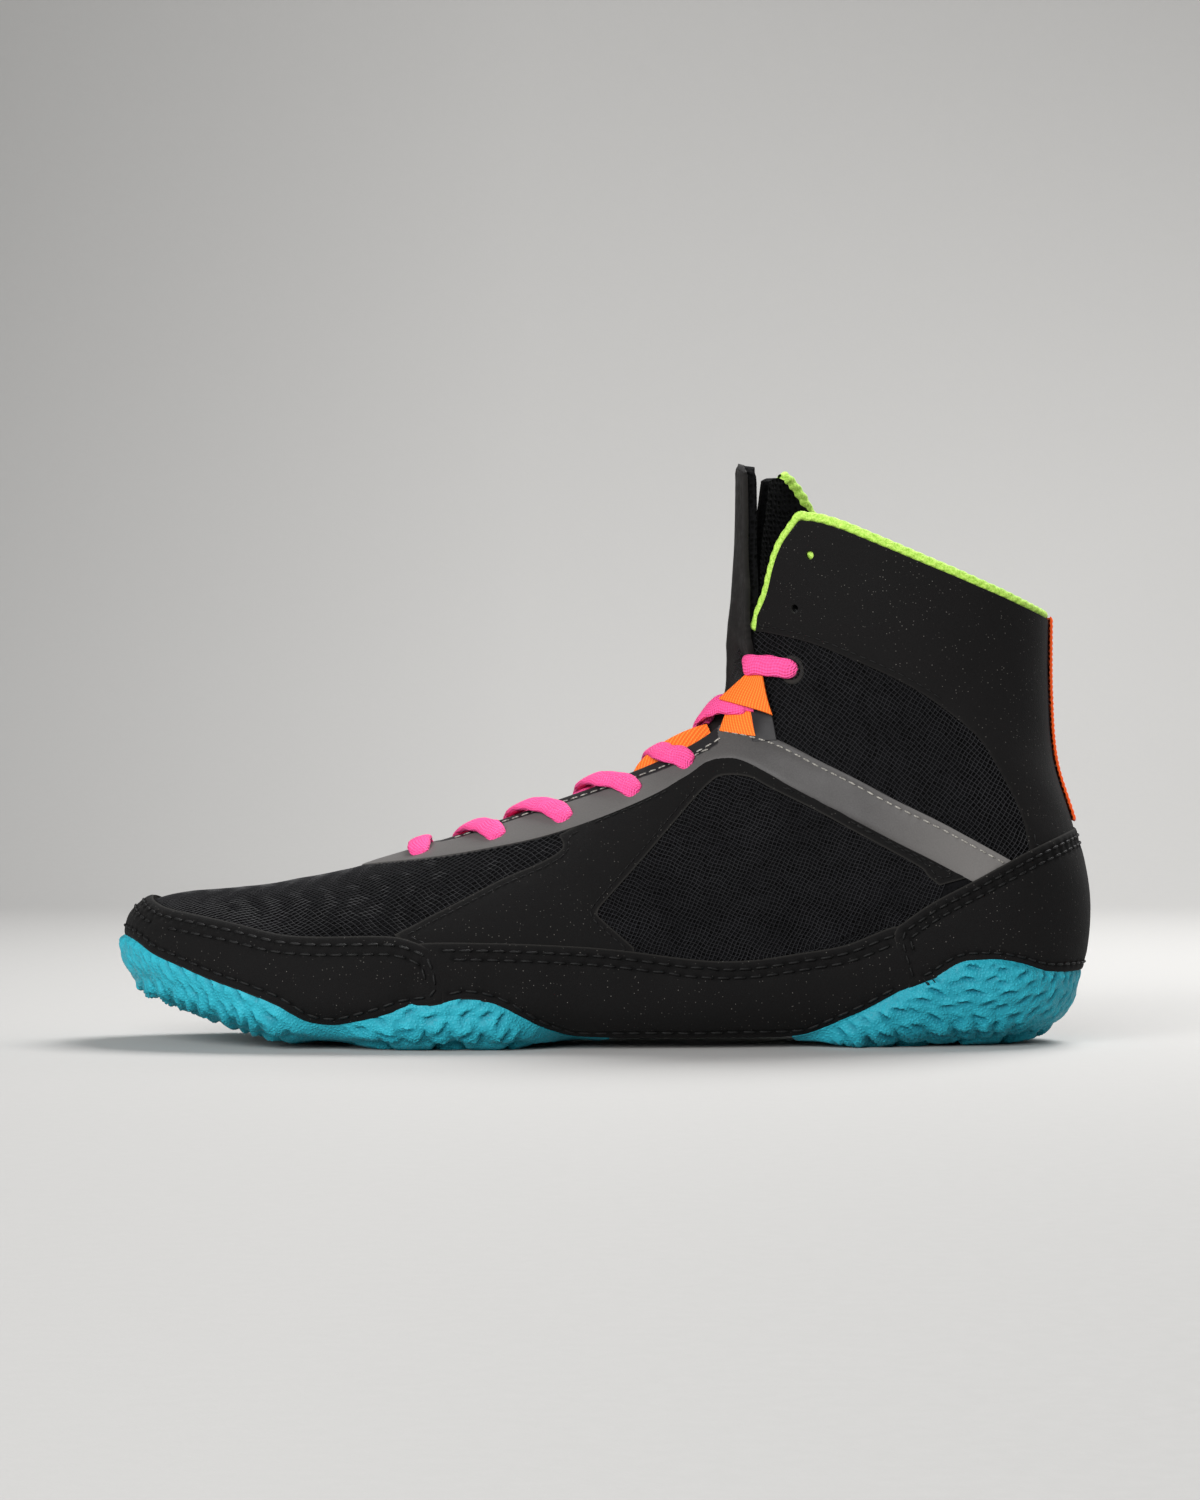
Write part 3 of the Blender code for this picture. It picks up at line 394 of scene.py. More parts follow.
def wrapped(turn):
    """Angle for a turn that runs down the outer side, under the foot and up the inner side."""
    return np.where(turn <= math.pi, -turn, 2.0 * math.pi - turn)


def on_rim(station, angle):
    """Station moved so that the last row lies on the collar's rim."""
    rim = np.where(angle < 0.0, np.interp(-angle, *RIM_LATERAL.T), np.interp(angle, *RIM_MEDIAL.T))
    moved = RIM_BLEND + (station - RIM_BLEND) * (rim - RIM_BLEND) / (RIM - RIM_BLEND)
    return np.where(station > RIM_BLEND, moved, station)


def even_turns(stations, first, last, columns, weigh=None):
    """Turns from first to last at each station, evenly spaced along the section or by a weight."""
    rows = []
    for station, low, high in zip(stations, first, last):
        turn = np.linspace(low, high, SECTION_MARKS)
        line = last_point(np.full_like(turn, max(station, 0.02)), wrapped(turn))
        steps = np.linalg.norm(np.diff(line, axis=0), axis=1)
        if weigh is not None:
            steps = steps * weigh(turn[1:])
        length = np.concatenate([[0.0], np.cumsum(steps)])
        rows.append(np.interp(np.linspace(0.0, length[-1], columns), length, turn))
    return np.array(rows)


def add_grid(name, points):
    """Grid primitive with its vertices moved to rows of points in millimetres."""
    rows, columns = points.shape[:2]
    bpy.ops.object.select_all(action="DESELECT")
    bpy.ops.mesh.primitive_grid_add(x_subdivisions=columns - 1, y_subdivisions=rows - 1, size=1.0)
    made = bpy.context.object
    made.name = name
    made.data.name = name
    made.data.vertices.foreach_set("co", (points * MM).astype(np.float32).ravel())
    run = np.cumsum(np.linalg.norm(np.diff(points, axis=1, prepend=points[:, :1]), axis=2), axis=1)
    climb = np.cumsum(np.linalg.norm(np.diff(points, axis=0, prepend=points[:1]), axis=2), axis=0)
    flat = np.stack([run, climb], axis=-1).reshape(-1, 2)
    corner = np.empty(len(made.data.loops), np.int32)
    made.data.loops.foreach_get("vertex_index", corner)
    made.data.uv_layers[0].data.foreach_set("uv", flat[corner].astype(np.float32).ravel())
    made.data.update()
    return made


def delete_faces(made, marked):
    """Edit mode: select the marked faces and delete them."""
    bpy.ops.object.mode_set(mode="EDIT")
    bpy.ops.mesh.select_mode(type="FACE")
    bpy.ops.mesh.select_all(action="DESELECT")
    bpy.ops.object.mode_set(mode="OBJECT")
    made.data.polygons.foreach_set("select", np.asarray(marked, bool).ravel())
    bpy.ops.object.mode_set(mode="EDIT")
    bpy.ops.mesh.delete(type="FACE")
    bpy.ops.object.mode_set(mode="OBJECT")


def weld(made, distance=0.02):
    """Edit mode: merge the vertices that lie together."""
    bpy.ops.object.mode_set(mode="EDIT")
    bpy.ops.mesh.select_all(action="SELECT")
    bpy.ops.mesh.remove_doubles(threshold=distance * MM)
    bpy.ops.object.mode_set(mode="OBJECT")


def apply(made, kind, **settings):
    """Add a modifier, set it and apply it."""
    change = made.modifiers.new(kind.lower(), kind)
    for key, value in settings.items():
        setattr(change, key, value)
    bpy.context.view_layer.objects.active = made
    bpy.ops.object.modifier_apply(modifier=change.name)


def place_on(made, slot, *nodes, angle=40.0):
    """Shade a finished piece, tie it to the shoe, and hide the parts that it stands for."""
    bpy.ops.object.select_all(action="DESELECT")
    made.select_set(True)
    bpy.context.view_layer.objects.active = made
    bpy.ops.object.shade_smooth_by_angle(angle=math.radians(angle))
    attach(made, "root")
    if nodes:
        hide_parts(*nodes)


def eyelet_places():
    """Station and angle of every eyelet, on both sides."""
    for station, share in LACED_EYELETS + [TOP_EYELET] + SPARE_EYELETS:
        for side in (-1.0, 1.0):
            yield station, float(angle_at(station, side * share * half_width_at(station, side)))


def joined(pieces):
    """Objects joined into the first of them."""
    bpy.ops.object.select_all(action="DESELECT")
    for piece in pieces:
        piece.select_set(True)
    bpy.context.view_layer.objects.active = pieces[0]
    if len(pieces) > 1:
        bpy.ops.object.join()
    return pieces[0]


def punch(made):
    """Cut the eyelets through a piece."""
    bpy.ops.object.select_all(action="DESELECT")
    for station, angle in eyelet_places():
        middle = Vector(skin(station, angle)) * MM
        turn = Vector(outward(np.asarray(station), angle)).to_track_quat("Z", "Y")
        radius = SPARE_RADIUS if station > TOP_EYELET[0] else EYELET_RADIUS
        bpy.ops.mesh.primitive_cylinder_add(vertices=20, radius=radius * MM, depth=EYELET_DEPTH * MM,
                                            location=middle, rotation=turn.to_euler())
        bpy.context.object["punch"] = True
    tool = joined([piece for piece in bpy.context.scene.objects if "punch" in piece])
    apply(made, "BOOLEAN", operation="DIFFERENCE", object=tool, solver="EXACT")
    bpy.data.objects.remove(tool, do_unlink=True)


stations = np.concatenate([np.linspace(0.0, TOE_END, TOE_ROWS + 1)[:-1],
                           np.linspace(TOE_END, RIM, UPPER_ROWS - TOE_ROWS)])
turns = even_turns(stations, *throat_turns(stations), UPPER_COLUMNS)
angles = wrapped(turns)
upper_stations = on_rim(stations[:, None], angles)
upper = add_grid("upper_body", skin(upper_stations, angles))
below = np.minimum(turns, 2.0 * math.pi - turns) > OPEN_TURN
hollow = np.zeros_like(below)
for low, high in (OPEN_FOREFOOT, OPEN_HEEL):
    hollow |= below & (stations[:, None] > low) & (stations[:, None] < high)
delete_faces(upper, hollow[:-1, :-1])
weld(upper)
apply(upper, "SOLIDIFY", thickness=UPPER_WALL * MM, offset=-1.0)
punch(upper)

upper_finish, tree, shader = new_finish("lining_cloth", (0.007, 0.007, 0.008), 0.85, 0.05)
place = node(tree, "TexCoord").outputs["Object"]
cells = node(tree, "TexVoronoi", {"feature": "F1"}, Vector=place, Scale=640.0, Randomness=0.5)
hole = spread(tree, cells.outputs["Distance"], 0.15, 0.55, 0.0, 1.0)
colour_by(tree, shader, (0.0008, 0.0008, 0.0008), (0.0045, 0.0045, 0.005), hole)
raise_by(tree, shader, hole, 0.0006, 0.7)
upper.data.materials.append(upper_finish)
place_on(upper, "upper_mesh", "upper")


# Mesh windows: an open diamond net of fine nylon yarn, stretched over the lining at the vamp,
# on both quarters and on both sides of the ankle. Each is cut a little larger than its window
# and its edge runs under the panels round it.
NET_YARN = 0.28
NET_LIFT = 0.35
NET_WANDER = 0.2
# Pitch of each net, and the ways of its yarns in degrees
VAMP_NET = (1.3, 20.0, -48.0)
QUARTER_NET = (1.06, 63.0, -22.0)
ANKLE_NET = (1.16, 58.0, -36.0)
VAMP_LENGTH = 150.0
VAMP_HALF = 62.0
VAMP_FOOT = np.array([(-133.0, 39.0), (-115.0, 34.0), (-92.0, 30.0), (-60.0, 29.5), (-40.0, 29.5)])
QUARTER_WINDOW = [
    (95.0, 46.5), (91.7, 49.2), (88.8, 52.1), (71.5, 61.5), (60.7, 67.4), (47.7, 73.8),
    (41.2, 77.1), (34.0, 77.4), (30.2, 75.3), (24.5, 69.5), (11.4, 54.5), (-1.0, 40.9),
    (-2.0, 39.2), (-1.7, 37.6), (8.2, 29.0),
]
QUARTER_FOOT = [
    (20.0, 24.5), (32.0, 23.0), (43.0, 23.5), (55.0, 25.0), (68.0, 27.5), (82.0, 32.5), (91.0, 39.0),
]
ANKLE_WINDOW = [
    (43.0, 119.6), (60.5, 116.0), (80.2, 107.5), (98.3, 96.2), (111.5, 82.5), (119.5, 67.0),
    (122.0, 56.0), (112.0, 53.0), (96.9, 62.0), (71.6, 75.0), (50.8, 85.6), (41.0, 89.0),
    (38.5, 100.0), (39.5, 112.0),
]


def smooth_line(points, closed=False, pieces=6):
    """Points on a smooth curve through a line of points."""
    marks = np.asarray(points, float)
    if closed:
        marks = np.vstack([marks[-1:], marks, marks[:2]])
    else:
        marks = np.vstack([2 * marks[0] - marks[1], marks, 2 * marks[-1] - marks[-2]])
    share = np.linspace(0.0, 1.0, pieces, endpoint=False)[:, None]
    line = []
    for a, b, c, d in zip(marks, marks[1:], marks[2:], marks[3:]):
        line.append(b + 0.5 * share * (c - a + share * (2 * a - 5 * b + 4 * c - d
                                                        + share * (3 * (b - c) + d - a))))
    line = np.vstack(line)
    return line if closed else np.vstack([line, marks[-2:-1]])


def inside(points, outline):
    """Distance in side view from a closed outline, above 0 inside it."""
    x = points[..., 0]
    z = points[..., 2]
    gap = np.full(x.shape, 1e9)
    within = np.zeros(x.shape, bool)
    for (ax, az), (bx, bz) in zip(outline, np.roll(outline, -1, axis=0)):
        ex, ez = bx - ax, bz - az
        if ex == 0.0 and ez == 0.0:
            continue
        share = np.clip(((x - ax) * ex + (z - az) * ez) / (ex * ex + ez * ez), 0.0, 1.0)
        gap = np.minimum(gap, np.hypot(x - ax - share * ex, z - az - share * ez))
        if ez != 0.0:
            within ^= ((az > z) != (bz > z)) & (x < ax + (z - az) * ex / ez)
    return np.where(within, gap, -gap)


def find_on_last(x, z, side):
    """Station and angle of the points of one side that are seen at x and z from the side."""
    table_stations, table_angles = np.meshgrid(np.linspace(0.3, 20.5, 150),
                                               side * np.linspace(0.12, 2.9, 60), indexing="ij")
    table = last_point(table_stations, table_angles)[..., ::2].reshape(-1, 2)
    goal = np.stack([np.ravel(x), np.ravel(z)], axis=-1)
    nearest = np.array([((table - point) ** 2).sum(axis=1).argmin() for point in goal])
    station = table_stations.ravel()[nearest]
    angle = table_angles.ravel()[nearest]
    step = 0.005
    for _ in range(8):
        miss = goal - last_point(station, angle)[..., ::2]
        along = (last_point(station + step, angle) - last_point(station - step, angle))[..., ::2]
        around = (last_point(station, angle + step) - last_point(station, angle - step))[..., ::2]
        spin = along[:, 0] * around[:, 1] - along[:, 1] * around[:, 0]
        spin = np.where(np.abs(spin) < 1e-6, 1e-6, spin)
        go = 2.0 * step * (miss[:, 0] * around[:, 1] - miss[:, 1] * around[:, 0]) / spin
        swing = 2.0 * step * (along[:, 0] * miss[:, 1] - along[:, 1] * miss[:, 0]) / spin
        station = np.clip(station + np.clip(go, -0.4, 0.4), 0.05, 20.9)
        angle = side * np.clip(np.abs(angle + np.clip(swing, -0.2, 0.2)), 0.02, 3.1)
    return station.reshape(np.shape(x)), angle.reshape(np.shape(x))


def run_along(line):
    """Distance along a line at each of its points."""
    return np.concatenate([[0.0], np.cumsum(np.linalg.norm(np.diff(line, axis=0), axis=1))])


def lattice(low, high, pitch, first_way, second_way):
    """Nodes of a diamond net over a box of the plane, each a little out of its place.

    The yarns run along two ways in degrees.
    """
    ways = np.array([[math.cos(math.radians(way)), math.sin(math.radians(way))]
                     for way in (first_way, second_way)]) * pitch
    ways /= abs(math.sin(math.radians(first_way - second_way)))
    middle = (np.array(low) + np.array(high)) / 2.0
    count = int(np.linalg.norm(np.array(high) - np.array(low)) / pitch / 2.0) + 2
    i, j = np.meshgrid(np.arange(-count, count + 1), np.arange(-count, count + 1))
    nodes = middle + i[..., None] * ways[0] + j[..., None] * ways[1]
    return nodes + NET_WANDER * np.sin(nodes[..., ::-1] * 0.8 + 1.3 * np.sin(nodes * 0.31))


def add_net(name, points, keep, finish):
    """Net of yarns along the sides of the kept cells."""
    whole = keep[:-1, :-1] & keep[1:, :-1] & keep[:-1, 1:] & keep[1:, 1:]
    made = add_grid(name, points)
    delete_faces(made, ~whole)
    apply(made, "WIREFRAME", thickness=NET_YARN * MM, use_even_offset=False, offset=0.0)
    made.data.materials.append(finish)
    place_on(made, "upper_mesh", angle=60.0)


net_finish, tree, shader = new_finish("mesh_yarn", (0.022, 0.022, 0.024), 0.42, 0.3)
place = node(tree, "TexCoord").outputs["Object"]
along = node(tree, "SeparateXYZ", None, Vector=place).outputs["X"]
# Random patches, and painted shade: the yarn is darkened by up to half towards the toe, where the vamp faces
# up into the key light.
patches_and_painted_shade = maths(tree, "MULTIPLY", noise(tree, place, 90.0, 3.0),
               spread(tree, along, -0.06, -0.01, 0.5, 1.0))
colour_by(tree, shader, (0.006, 0.006, 0.0067), (0.031, 0.031, 0.034), patches_and_painted_shade)
dull_by(tree, shader, noise(tree, place, 1500.0), 0.45, 0.65)

ridge = np.linspace(1.0, 12.0, 400)
flat = lattice((0.0, -VAMP_HALF), (VAMP_LENGTH, VAMP_HALF), *VAMP_NET)
net_stations = np.interp(flat[..., 0], run_along(last_point(ridge, 0.0)), ridge)
quarter_turn = last_point(net_stations[..., None], np.linspace(0.0, math.pi / 2, 12))
girth = np.linalg.norm(np.diff(quarter_turn, axis=-2), axis=-1).sum(axis=-1)
net_angles = np.clip(flat[..., 1] / girth * math.pi / 2, -1.6, 1.6)
points = skin(net_stations, net_angles, NET_LIFT)
keep = (flat[..., 0] > 0.5) & (flat[..., 0] < VAMP_LENGTH) & (np.abs(net_angles) < 1.55)
keep &= points[..., 2] > np.interp(points[..., 0], *VAMP_FOOT.T)
keep &= (net_stations < 6.6) | (np.abs(points[..., 1] - 4.0) > 13.0)
keep &= (points[..., 0] - points[..., 2] * 1.95) < -109.0
add_net("vamp_mesh", points, keep, net_finish)

for name, window, net in (("quarter_mesh", QUARTER_WINDOW + QUARTER_FOOT, QUARTER_NET),
                          ("ankle_mesh", ANKLE_WINDOW, ANKLE_NET)):
    outline = smooth_line(window, closed=True)
    flat = lattice(outline.min(axis=0), outline.max(axis=0), *net)
    seen = np.stack([flat[..., 0], flat[..., 0], flat[..., 1]], axis=-1)
    keep = inside(seen, outline) > -2.0
    for side, suffix in ((-1.0, "_lateral"), (1.0, "_medial")):
        net_stations = np.full(flat.shape[:-1], 10.0)
        net_angles = np.full(flat.shape[:-1], side)
        net_stations[keep], net_angles[keep] = find_on_last(flat[keep][:, 0], flat[keep][:, 1], side)
        add_net(name + suffix, skin(net_stations, net_angles, NET_LIFT), keep, net_finish)


# Rubber units: moulded turquoise rubber under the forefoot and under the heel, with a gap
# below the arch. Each is a cup that climbs the side, covered with scales like a shingled roof
# and standing on staggered lugs; it is glued on, and the suede overlaps its edge.
FOREFOOT_EDGE = [
    (-150.0, 31.0), (-136.6, 30.6), (-128.3, 26.4), (-119.0, 22.9), (-111.6, 20.1),
    (-102.3, 17.1), (-92.2, 13.5), (-85.1, 9.8), (-80.8, 8.6), (-75.7, 8.3), (-70.6, 9.2),
    (-63.4, 10.7), (-56.2, 12.6), (-46.1, 13.8), (-39.3, 15.1), (-33.3, 14.2),
    (-27.7, 12.1), (-21.9, 9.0), (-14.7, 5.9), (-7.4, 3.9), (8.0, 3.2),
]
HEEL_EDGE = [
    (48.0, 3.2), (56.1, 4.2), (62.2, 6.2), (68.4, 8.8), (74.6, 11.4), (80.8, 14.5),
    (86.9, 17.6), (93.1, 20.0), (96.8, 22.5), (101.2, 24.8), (105.4, 25.3), (111.6, 25.3),
    (117.8, 24.1), (124.0, 22.2), (130.2, 21.6), (150.0, 22.0),
]
# Lift of the rubber's edge by station, and its share of the full lift by half turns from the ridge
RUBBER_EDGE = np.array([(0.0, 3.9), (0.7, 4.0), (2.0, 2.5), (3.5, 1.6), (5.0, 1.5), (9.0, 1.4),
                        (12.0, 1.2), (14.0, 0.7), (16.0, 0.5)])
RUBBER_UNDER = np.array([(0.5, 0.0), (0.6, 0.55), (0.7, 1.5), (0.8, 1.45), (0.9, 1.15),
                         (1.0, 1.0)])
RUBBER_WALL = 0.9
RUBBER_LIP = 0.7
RUBBER_UNDER_SUEDE = 1.0
SOLE_UNDER_FOOT = 3.6
GROUND_TO_BASE = 1.8
ARCH_MIDDLE = 27.0
ARCH_HALF_LENGTH = 29.0
ARCH_HALF_WIDTH = 62.0
LUG_PITCH = (21.0, 16.0)
LUG_HALF = (6.6, 4.8)
LUG_REACH = 2.6
TOE_CENTRE = (-92.0, 8.0)
TOE_RADIUS = 47.0
HEEL_CENTRE = (104.0, 0.0)
HEEL_RADIUS = 34.0
# Fields of scales along the side of the sole: middle, and slant of the rows in degrees
SCALE_FIELDS = [
    (-172.0, -74.0), (-144.0, -68.0), (-118.0, -58.0), (-97.0, -46.0), (-79.0, -30.0), (-64.0, -4.0),
    (-51.0, 26.0), (-36.0, 42.0), (-10.0, 46.0), (62.0, -38.0), (80.0, -26.0), (94.0, -12.0),
    (106.0, 3.0), (117.0, 20.0), (128.0, 40.0), (140.0, 60.0), (157.0, 72.0),
]
FIELD_BLEND = 2.5
SCALE_LENGTH = 7.6
SCALE_ROW = 3.5
LOBE_PITCH = 7.8
NOTCH_PITCH = 4.6


def rubber_lift(station, angle):
    """How far the rubber stands out of the last, growing from its edge to the bottom."""
    edge = np.interp(station, RUBBER_EDGE[:, 0], RUBBER_EDGE[:, 1])
    under = np.interp(np.abs(angle) / math.pi, RUBBER_UNDER[:, 0], RUBBER_UNDER[:, 1])
    full = SOLE_UNDER_FOOT * (1.2 - 0.65 * eased(station, 0.6, 2.4)
                              + 0.45 * eased(station, 3.0, 6.5) - 0.7 * eased(station, 13.2, 14.8))
    return edge + (full - edge) * under * eased(station, 0.4, 2.4)


def girth_run(points):
    """Distance along the side of the sole, straight along the sides and round both ends."""
    x = points[..., 0]
    y = points[..., 1]
    toe = np.arctan2(TOE_CENTRE[0] - x, np.abs(y - TOE_CENTRE[1]))
    heel = np.arctan2(x - HEEL_CENTRE[0], np.abs(y - HEEL_CENTRE[1]))
    run = np.where(x < TOE_CENTRE[0], TOE_CENTRE[0] - TOE_RADIUS * toe, x)
    return np.where(x > HEEL_CENTRE[0], HEEL_CENTRE[0] + HEEL_RADIUS * heel, run)


def scales(up, along):
    """Relief of one field of scales in millimetres: staggered lips, each above a dark crescent."""
    up = up + 0.4 * np.sin(along * 0.31 + 1.0) + 0.25 * np.sin(along * 0.83)
    row = np.floor(up / SCALE_ROW)
    spot = along / SCALE_LENGTH + 0.5 * (row % 2) + 0.13 * np.sin(row * 2.4)
    length = 0.38 + 0.05 * np.sin(row * 1.7 + np.floor(spot) * 2.9)
    spot = spot - np.floor(spot) - 0.5
    above = up - row * SCALE_ROW - 0.45 * SCALE_ROW + 4.5 * spot ** 2
    taper = np.clip(1.0 - (spot / length) ** 2, 0.0, 1.0)
    lip = 0.5 + 0.5 * np.tanh(above / 0.2)
    rise = 0.7 * np.exp(-np.maximum(above, 0.0) / 1.2) * lip
    sink = 1.5 * np.exp(-np.maximum(-above, 0.0) / 0.9) * (1.0 - lip)
    return (rise - sink) * taper


def scale_relief(points):
    """Relief of the rubber's side: fields of scales that run into each other."""
    run = girth_run(points)
    height = points[..., 2] - 12.0
    relief = np.zeros(run.shape)
    before = np.ones(run.shape)
    for index, (middle, slant) in enumerate(SCALE_FIELDS):
        after = np.zeros(run.shape)
        if index + 1 < len(SCALE_FIELDS):
            border = 0.5 * (middle + SCALE_FIELDS[index + 1][0])
            after = eased(run, border - FIELD_BLEND, border + FIELD_BLEND)
        lean = math.radians(slant)
        up = height * math.cos(lean) - (run - middle) * math.sin(lean)
        along = (run - middle) * math.cos(lean) + height * math.sin(lean)
        relief += (before - after) * scales(up, along)
        before = after
    return relief


def lug_cover(points, first_x):
    """Share of a lug's height under each point: staggered blocks with sloping sides."""
    cover = np.zeros(points.shape[:-1])
    half = LUG_PITCH[0] / 2.0
    column = np.round((points[..., 0] - first_x) / half)
    for step in (-1, 0, 1):
        middle_x = first_x + (column + step) * half
        shift = 0.5 * ((column + step) % 2)
        row = np.round(points[..., 1] / LUG_PITCH[1] - shift)
        middle_y = (row + shift) * LUG_PITCH[1]
        off_x = np.abs(points[..., 0] - middle_x) / LUG_HALF[0]
        off_y = np.abs(points[..., 1] - middle_y) / LUG_HALF[1]
        block = np.maximum(np.maximum(off_y, off_x), 0.72 * (off_x + off_y))
        cover = np.maximum(cover, 1.0 - eased(block, 0.78, 1.18))
    return cover


def snap(stations, turns, field, loose):
    """Move the loose grid points on to the line where the field is 0."""
    s = stations[loose]
    t = turns[loose]
    step = 0.004
    for _ in range(4):
        here = last_point(s, wrapped(t))
        along = last_point(s + step, wrapped(t)) - here
        around = last_point(s, wrapped(t + step)) - here
        gap = field(here)
        slope_s = (field(here + along) - gap) / np.linalg.norm(along, axis=-1)
        slope_t = (field(here + around) - gap) / np.maximum(np.linalg.norm(around, axis=-1), 1e-6)
        pull = np.clip(-gap, -2.0, 2.0) / np.maximum(slope_s ** 2 + slope_t ** 2, 0.05)
        s = np.maximum(s + pull * slope_s * step / np.linalg.norm(along, axis=-1), 0.0)
        t = t + pull * slope_t * step / np.maximum(np.linalg.norm(around, axis=-1), 1e-6)
    stations[loose] = s
    turns[loose] = t


def face_corners(value):
    """Values at the four corners of each face of a grid."""
    return [value[:-1, :-1], value[1:, :-1], value[:-1, 1:], value[1:, 1:]]


def trimmed(stations, turns, field):
    """Fit a grid to the part of the last where the field is above 0: field and kept faces."""
    value = field(last_point(stations, wrapped(turns)))
    in_face = np.maximum.reduce(face_corners(value)) > 0.0
    used = np.zeros(value.shape, bool)
    for rows in (slice(None, -1), slice(1, None)):
        for columns in (slice(None, -1), slice(1, None)):
            used[rows, columns] |= in_face
    snap(stations, turns, field, used & (value < 0.0))
    depth = np.maximum(field(last_point(stations, wrapped(turns))), 0.0)
    return np.where(used, depth, -1.0), in_face


def keep_value(made, name, values):
    """Store a number at each vertex for the finish to read."""
    layer = made.data.attributes.new(name, "FLOAT", "POINT")
    layer.data.foreach_set("value", np.asarray(values, np.float32).ravel())


def stored(tree, name):
    """Number that was stored at the vertices."""
    return node(tree, "Attribute", {"attribute_name": name}).outputs["Fac"]


def add_rubber(name, node_name, span, start, rows, columns, edge, first_lug, sparing):
    """One rubber unit, from its edge on the outer side under the foot to the inner side.

    The sparing thins out the grid's columns under the foot.
    """
    line = smooth_line(edge) + (0.0, RUBBER_UNDER_SUEDE)
    outline = np.vstack([line, [(edge[-1][0], -9.0), (edge[0][0], -9.0)]])

    def field(points):
        around = np.hypot((points[..., 0] - ARCH_MIDDLE) / ARCH_HALF_LENGTH,
                          points[..., 1] / ARCH_HALF_WIDTH)
        return np.minimum(inside(points, outline), (around - 1.0) * ARCH_HALF_LENGTH)

    def weigh(turn):
        return 1.0 - sparing * eased(np.abs(wrapped(turn)) / math.pi, 0.76, 0.84)

    marks = np.linspace(*span, rows)
    grid_turns = even_turns(marks, np.full(rows, start), np.full(rows, 2.0 * math.pi - start),
                            columns, weigh)
    grid_stations = np.repeat(marks[:, None], columns, axis=1)
    depth, kept = trimmed(grid_stations, grid_turns, field)
    grid_angles = wrapped(grid_turns)
    flat = last_point(grid_stations, grid_angles)
    normal = outward(grid_stations, grid_angles)
    facing_down = -normal[..., 2]
    below = eased(facing_down, 0.86, 0.99)
    edge_fade = eased(depth, 0.0, 2.2)
    lift = rubber_lift(grid_stations, grid_angles) - RUBBER_LIP
    lift = RUBBER_LIP + lift * (0.3 + 0.7 * edge_fade)
    base = flat + normal * lift[..., None]
    relief = scale_relief(base) * eased(depth, 0.2, 1.6) * (1.0 - below)
    base += normal * relief[..., None]
    base[..., 2] = np.maximum(base[..., 2], GROUND_TO_BASE)
    run = girth_run(base)
    lobe = np.sqrt(np.abs(np.sin(math.pi * (run + 0.5 * base[..., 2]) / LOBE_PITCH
                                 + 0.5 * np.sin(run * 0.11))))
    teeth = 0.5 + 0.5 * np.sin(run * 5.2 + 2.2 * np.sin(base[..., 1] * 1.9) + base[..., 2] * 2.6)
    corner = eased(facing_down, 0.55, 0.8) * (1.0 - eased(facing_down, 0.9, 0.99))
    corner = corner * eased(depth, 1.0, 4.0) * (1.0 - 0.85 * eased(base[..., 0], 110.0, 126.0))
    lugs = lug_cover(base, first_lug) * eased(facing_down, 0.88, 0.98) * eased(depth, 2.0, 6.0)
    tread = np.maximum(lugs, (0.75 * lobe + 0.25 * teeth) * corner)
    notch = np.abs(np.sin(math.pi * base[..., 0] / NOTCH_PITCH + 0.7 * np.sin(base[..., 0] * 0.37)
                          + 0.4 * np.sin(base[..., 1] * 0.21)))
    tread = tread * (1.0 - 0.6 * (1.0 - eased(base[..., 0], -100.0, -84.0)) * (1.0 - notch))
    points = base + normal * (LUG_REACH * tread)[..., None]
    grain = 0.16 * np.sin(points[..., 0] * 4.1 + 2.0 * np.sin(points[..., 1] * 3.3))
    points += normal * (grain * below * edge_fade)[..., None]
    points[..., 2] = np.maximum(points[..., 2], 0.0)
    made = add_grid(name, points)
    # The relief is kept for the finish, which paints shade and highlight by it.
    keep_value(made, "relief", relief + 0.4 * (tread - 0.5) * below)
    delete_faces(made, ~kept)
    weld(made)
    apply(made, "SOLIDIFY", thickness=RUBBER_WALL * MM, offset=-1.0)
    made.data.materials.append(rubber_finish)
    place_on(made, "sole_rubber", node_name, angle=70.0)


rubber_finish, tree, shader = new_finish("turquoise_rubber", (0.014, 0.27, 0.36), 0.5, 0.14)
place = node(tree, "TexCoord").outputs["Object"]
nubs = node(tree, "TexVoronoi", {"feature": "SMOOTH_F1"}, Vector=place, Scale=1250.0, Smoothness=0.3)
nub = spread(tree, nubs.outputs["Distance"], 0.1, 0.6, 1.0, 0.0)
# Painted shade and highlight: the colour darkens with the stored relief in the crescents under the lips of
# the scales, and lightens on the lips and on the lugs under the foot.
tone = maths(tree, "MULTIPLY_ADD", nub, 0.22, spread(tree, stored(tree, "relief"), -0.9, 0.4, 0.0, 0.85))
along = node(tree, "SeparateXYZ", None, Vector=place).outputs["X"]
# Painted light: the rubber is lighter towards the toe, where the fill light falls, and darker towards the
# heel.
tone = maths(tree, "ADD", tone, spread(tree, along, -0.13, 0.11, 0.08, -0.2))
tone = maths(tree, "MULTIPLY_ADD", noise(tree, place, 90.0, 3.0), 0.3, tone)
colour_by(tree, shader, (0.0015, 0.105, 0.155), (0.026, 0.35, 0.44), tone)
dull_by(tree, shader, noise(tree, place, 500.0), 0.36, 0.6)
raise_by(tree, shader, nub, 0.0003, 0.6)
raise_by(tree, shader, noise(tree, place, 420.0, 3.0), 0.0004, 0.25)

add_rubber("forefoot_rubber", "outsole_forefoot", span=(0.0, 10.3), start=0.36 * math.pi,
           rows=310, columns=214, edge=FOREFOOT_EDGE, first_lug=-128.0, sparing=0.75)
add_rubber("heel_rubber", "outsole_heel", span=(10.4, 16.2), start=0.48 * math.pi,
           rows=235, columns=215, edge=HEEL_EDGE, first_lug=66.0, sparing=0.3)


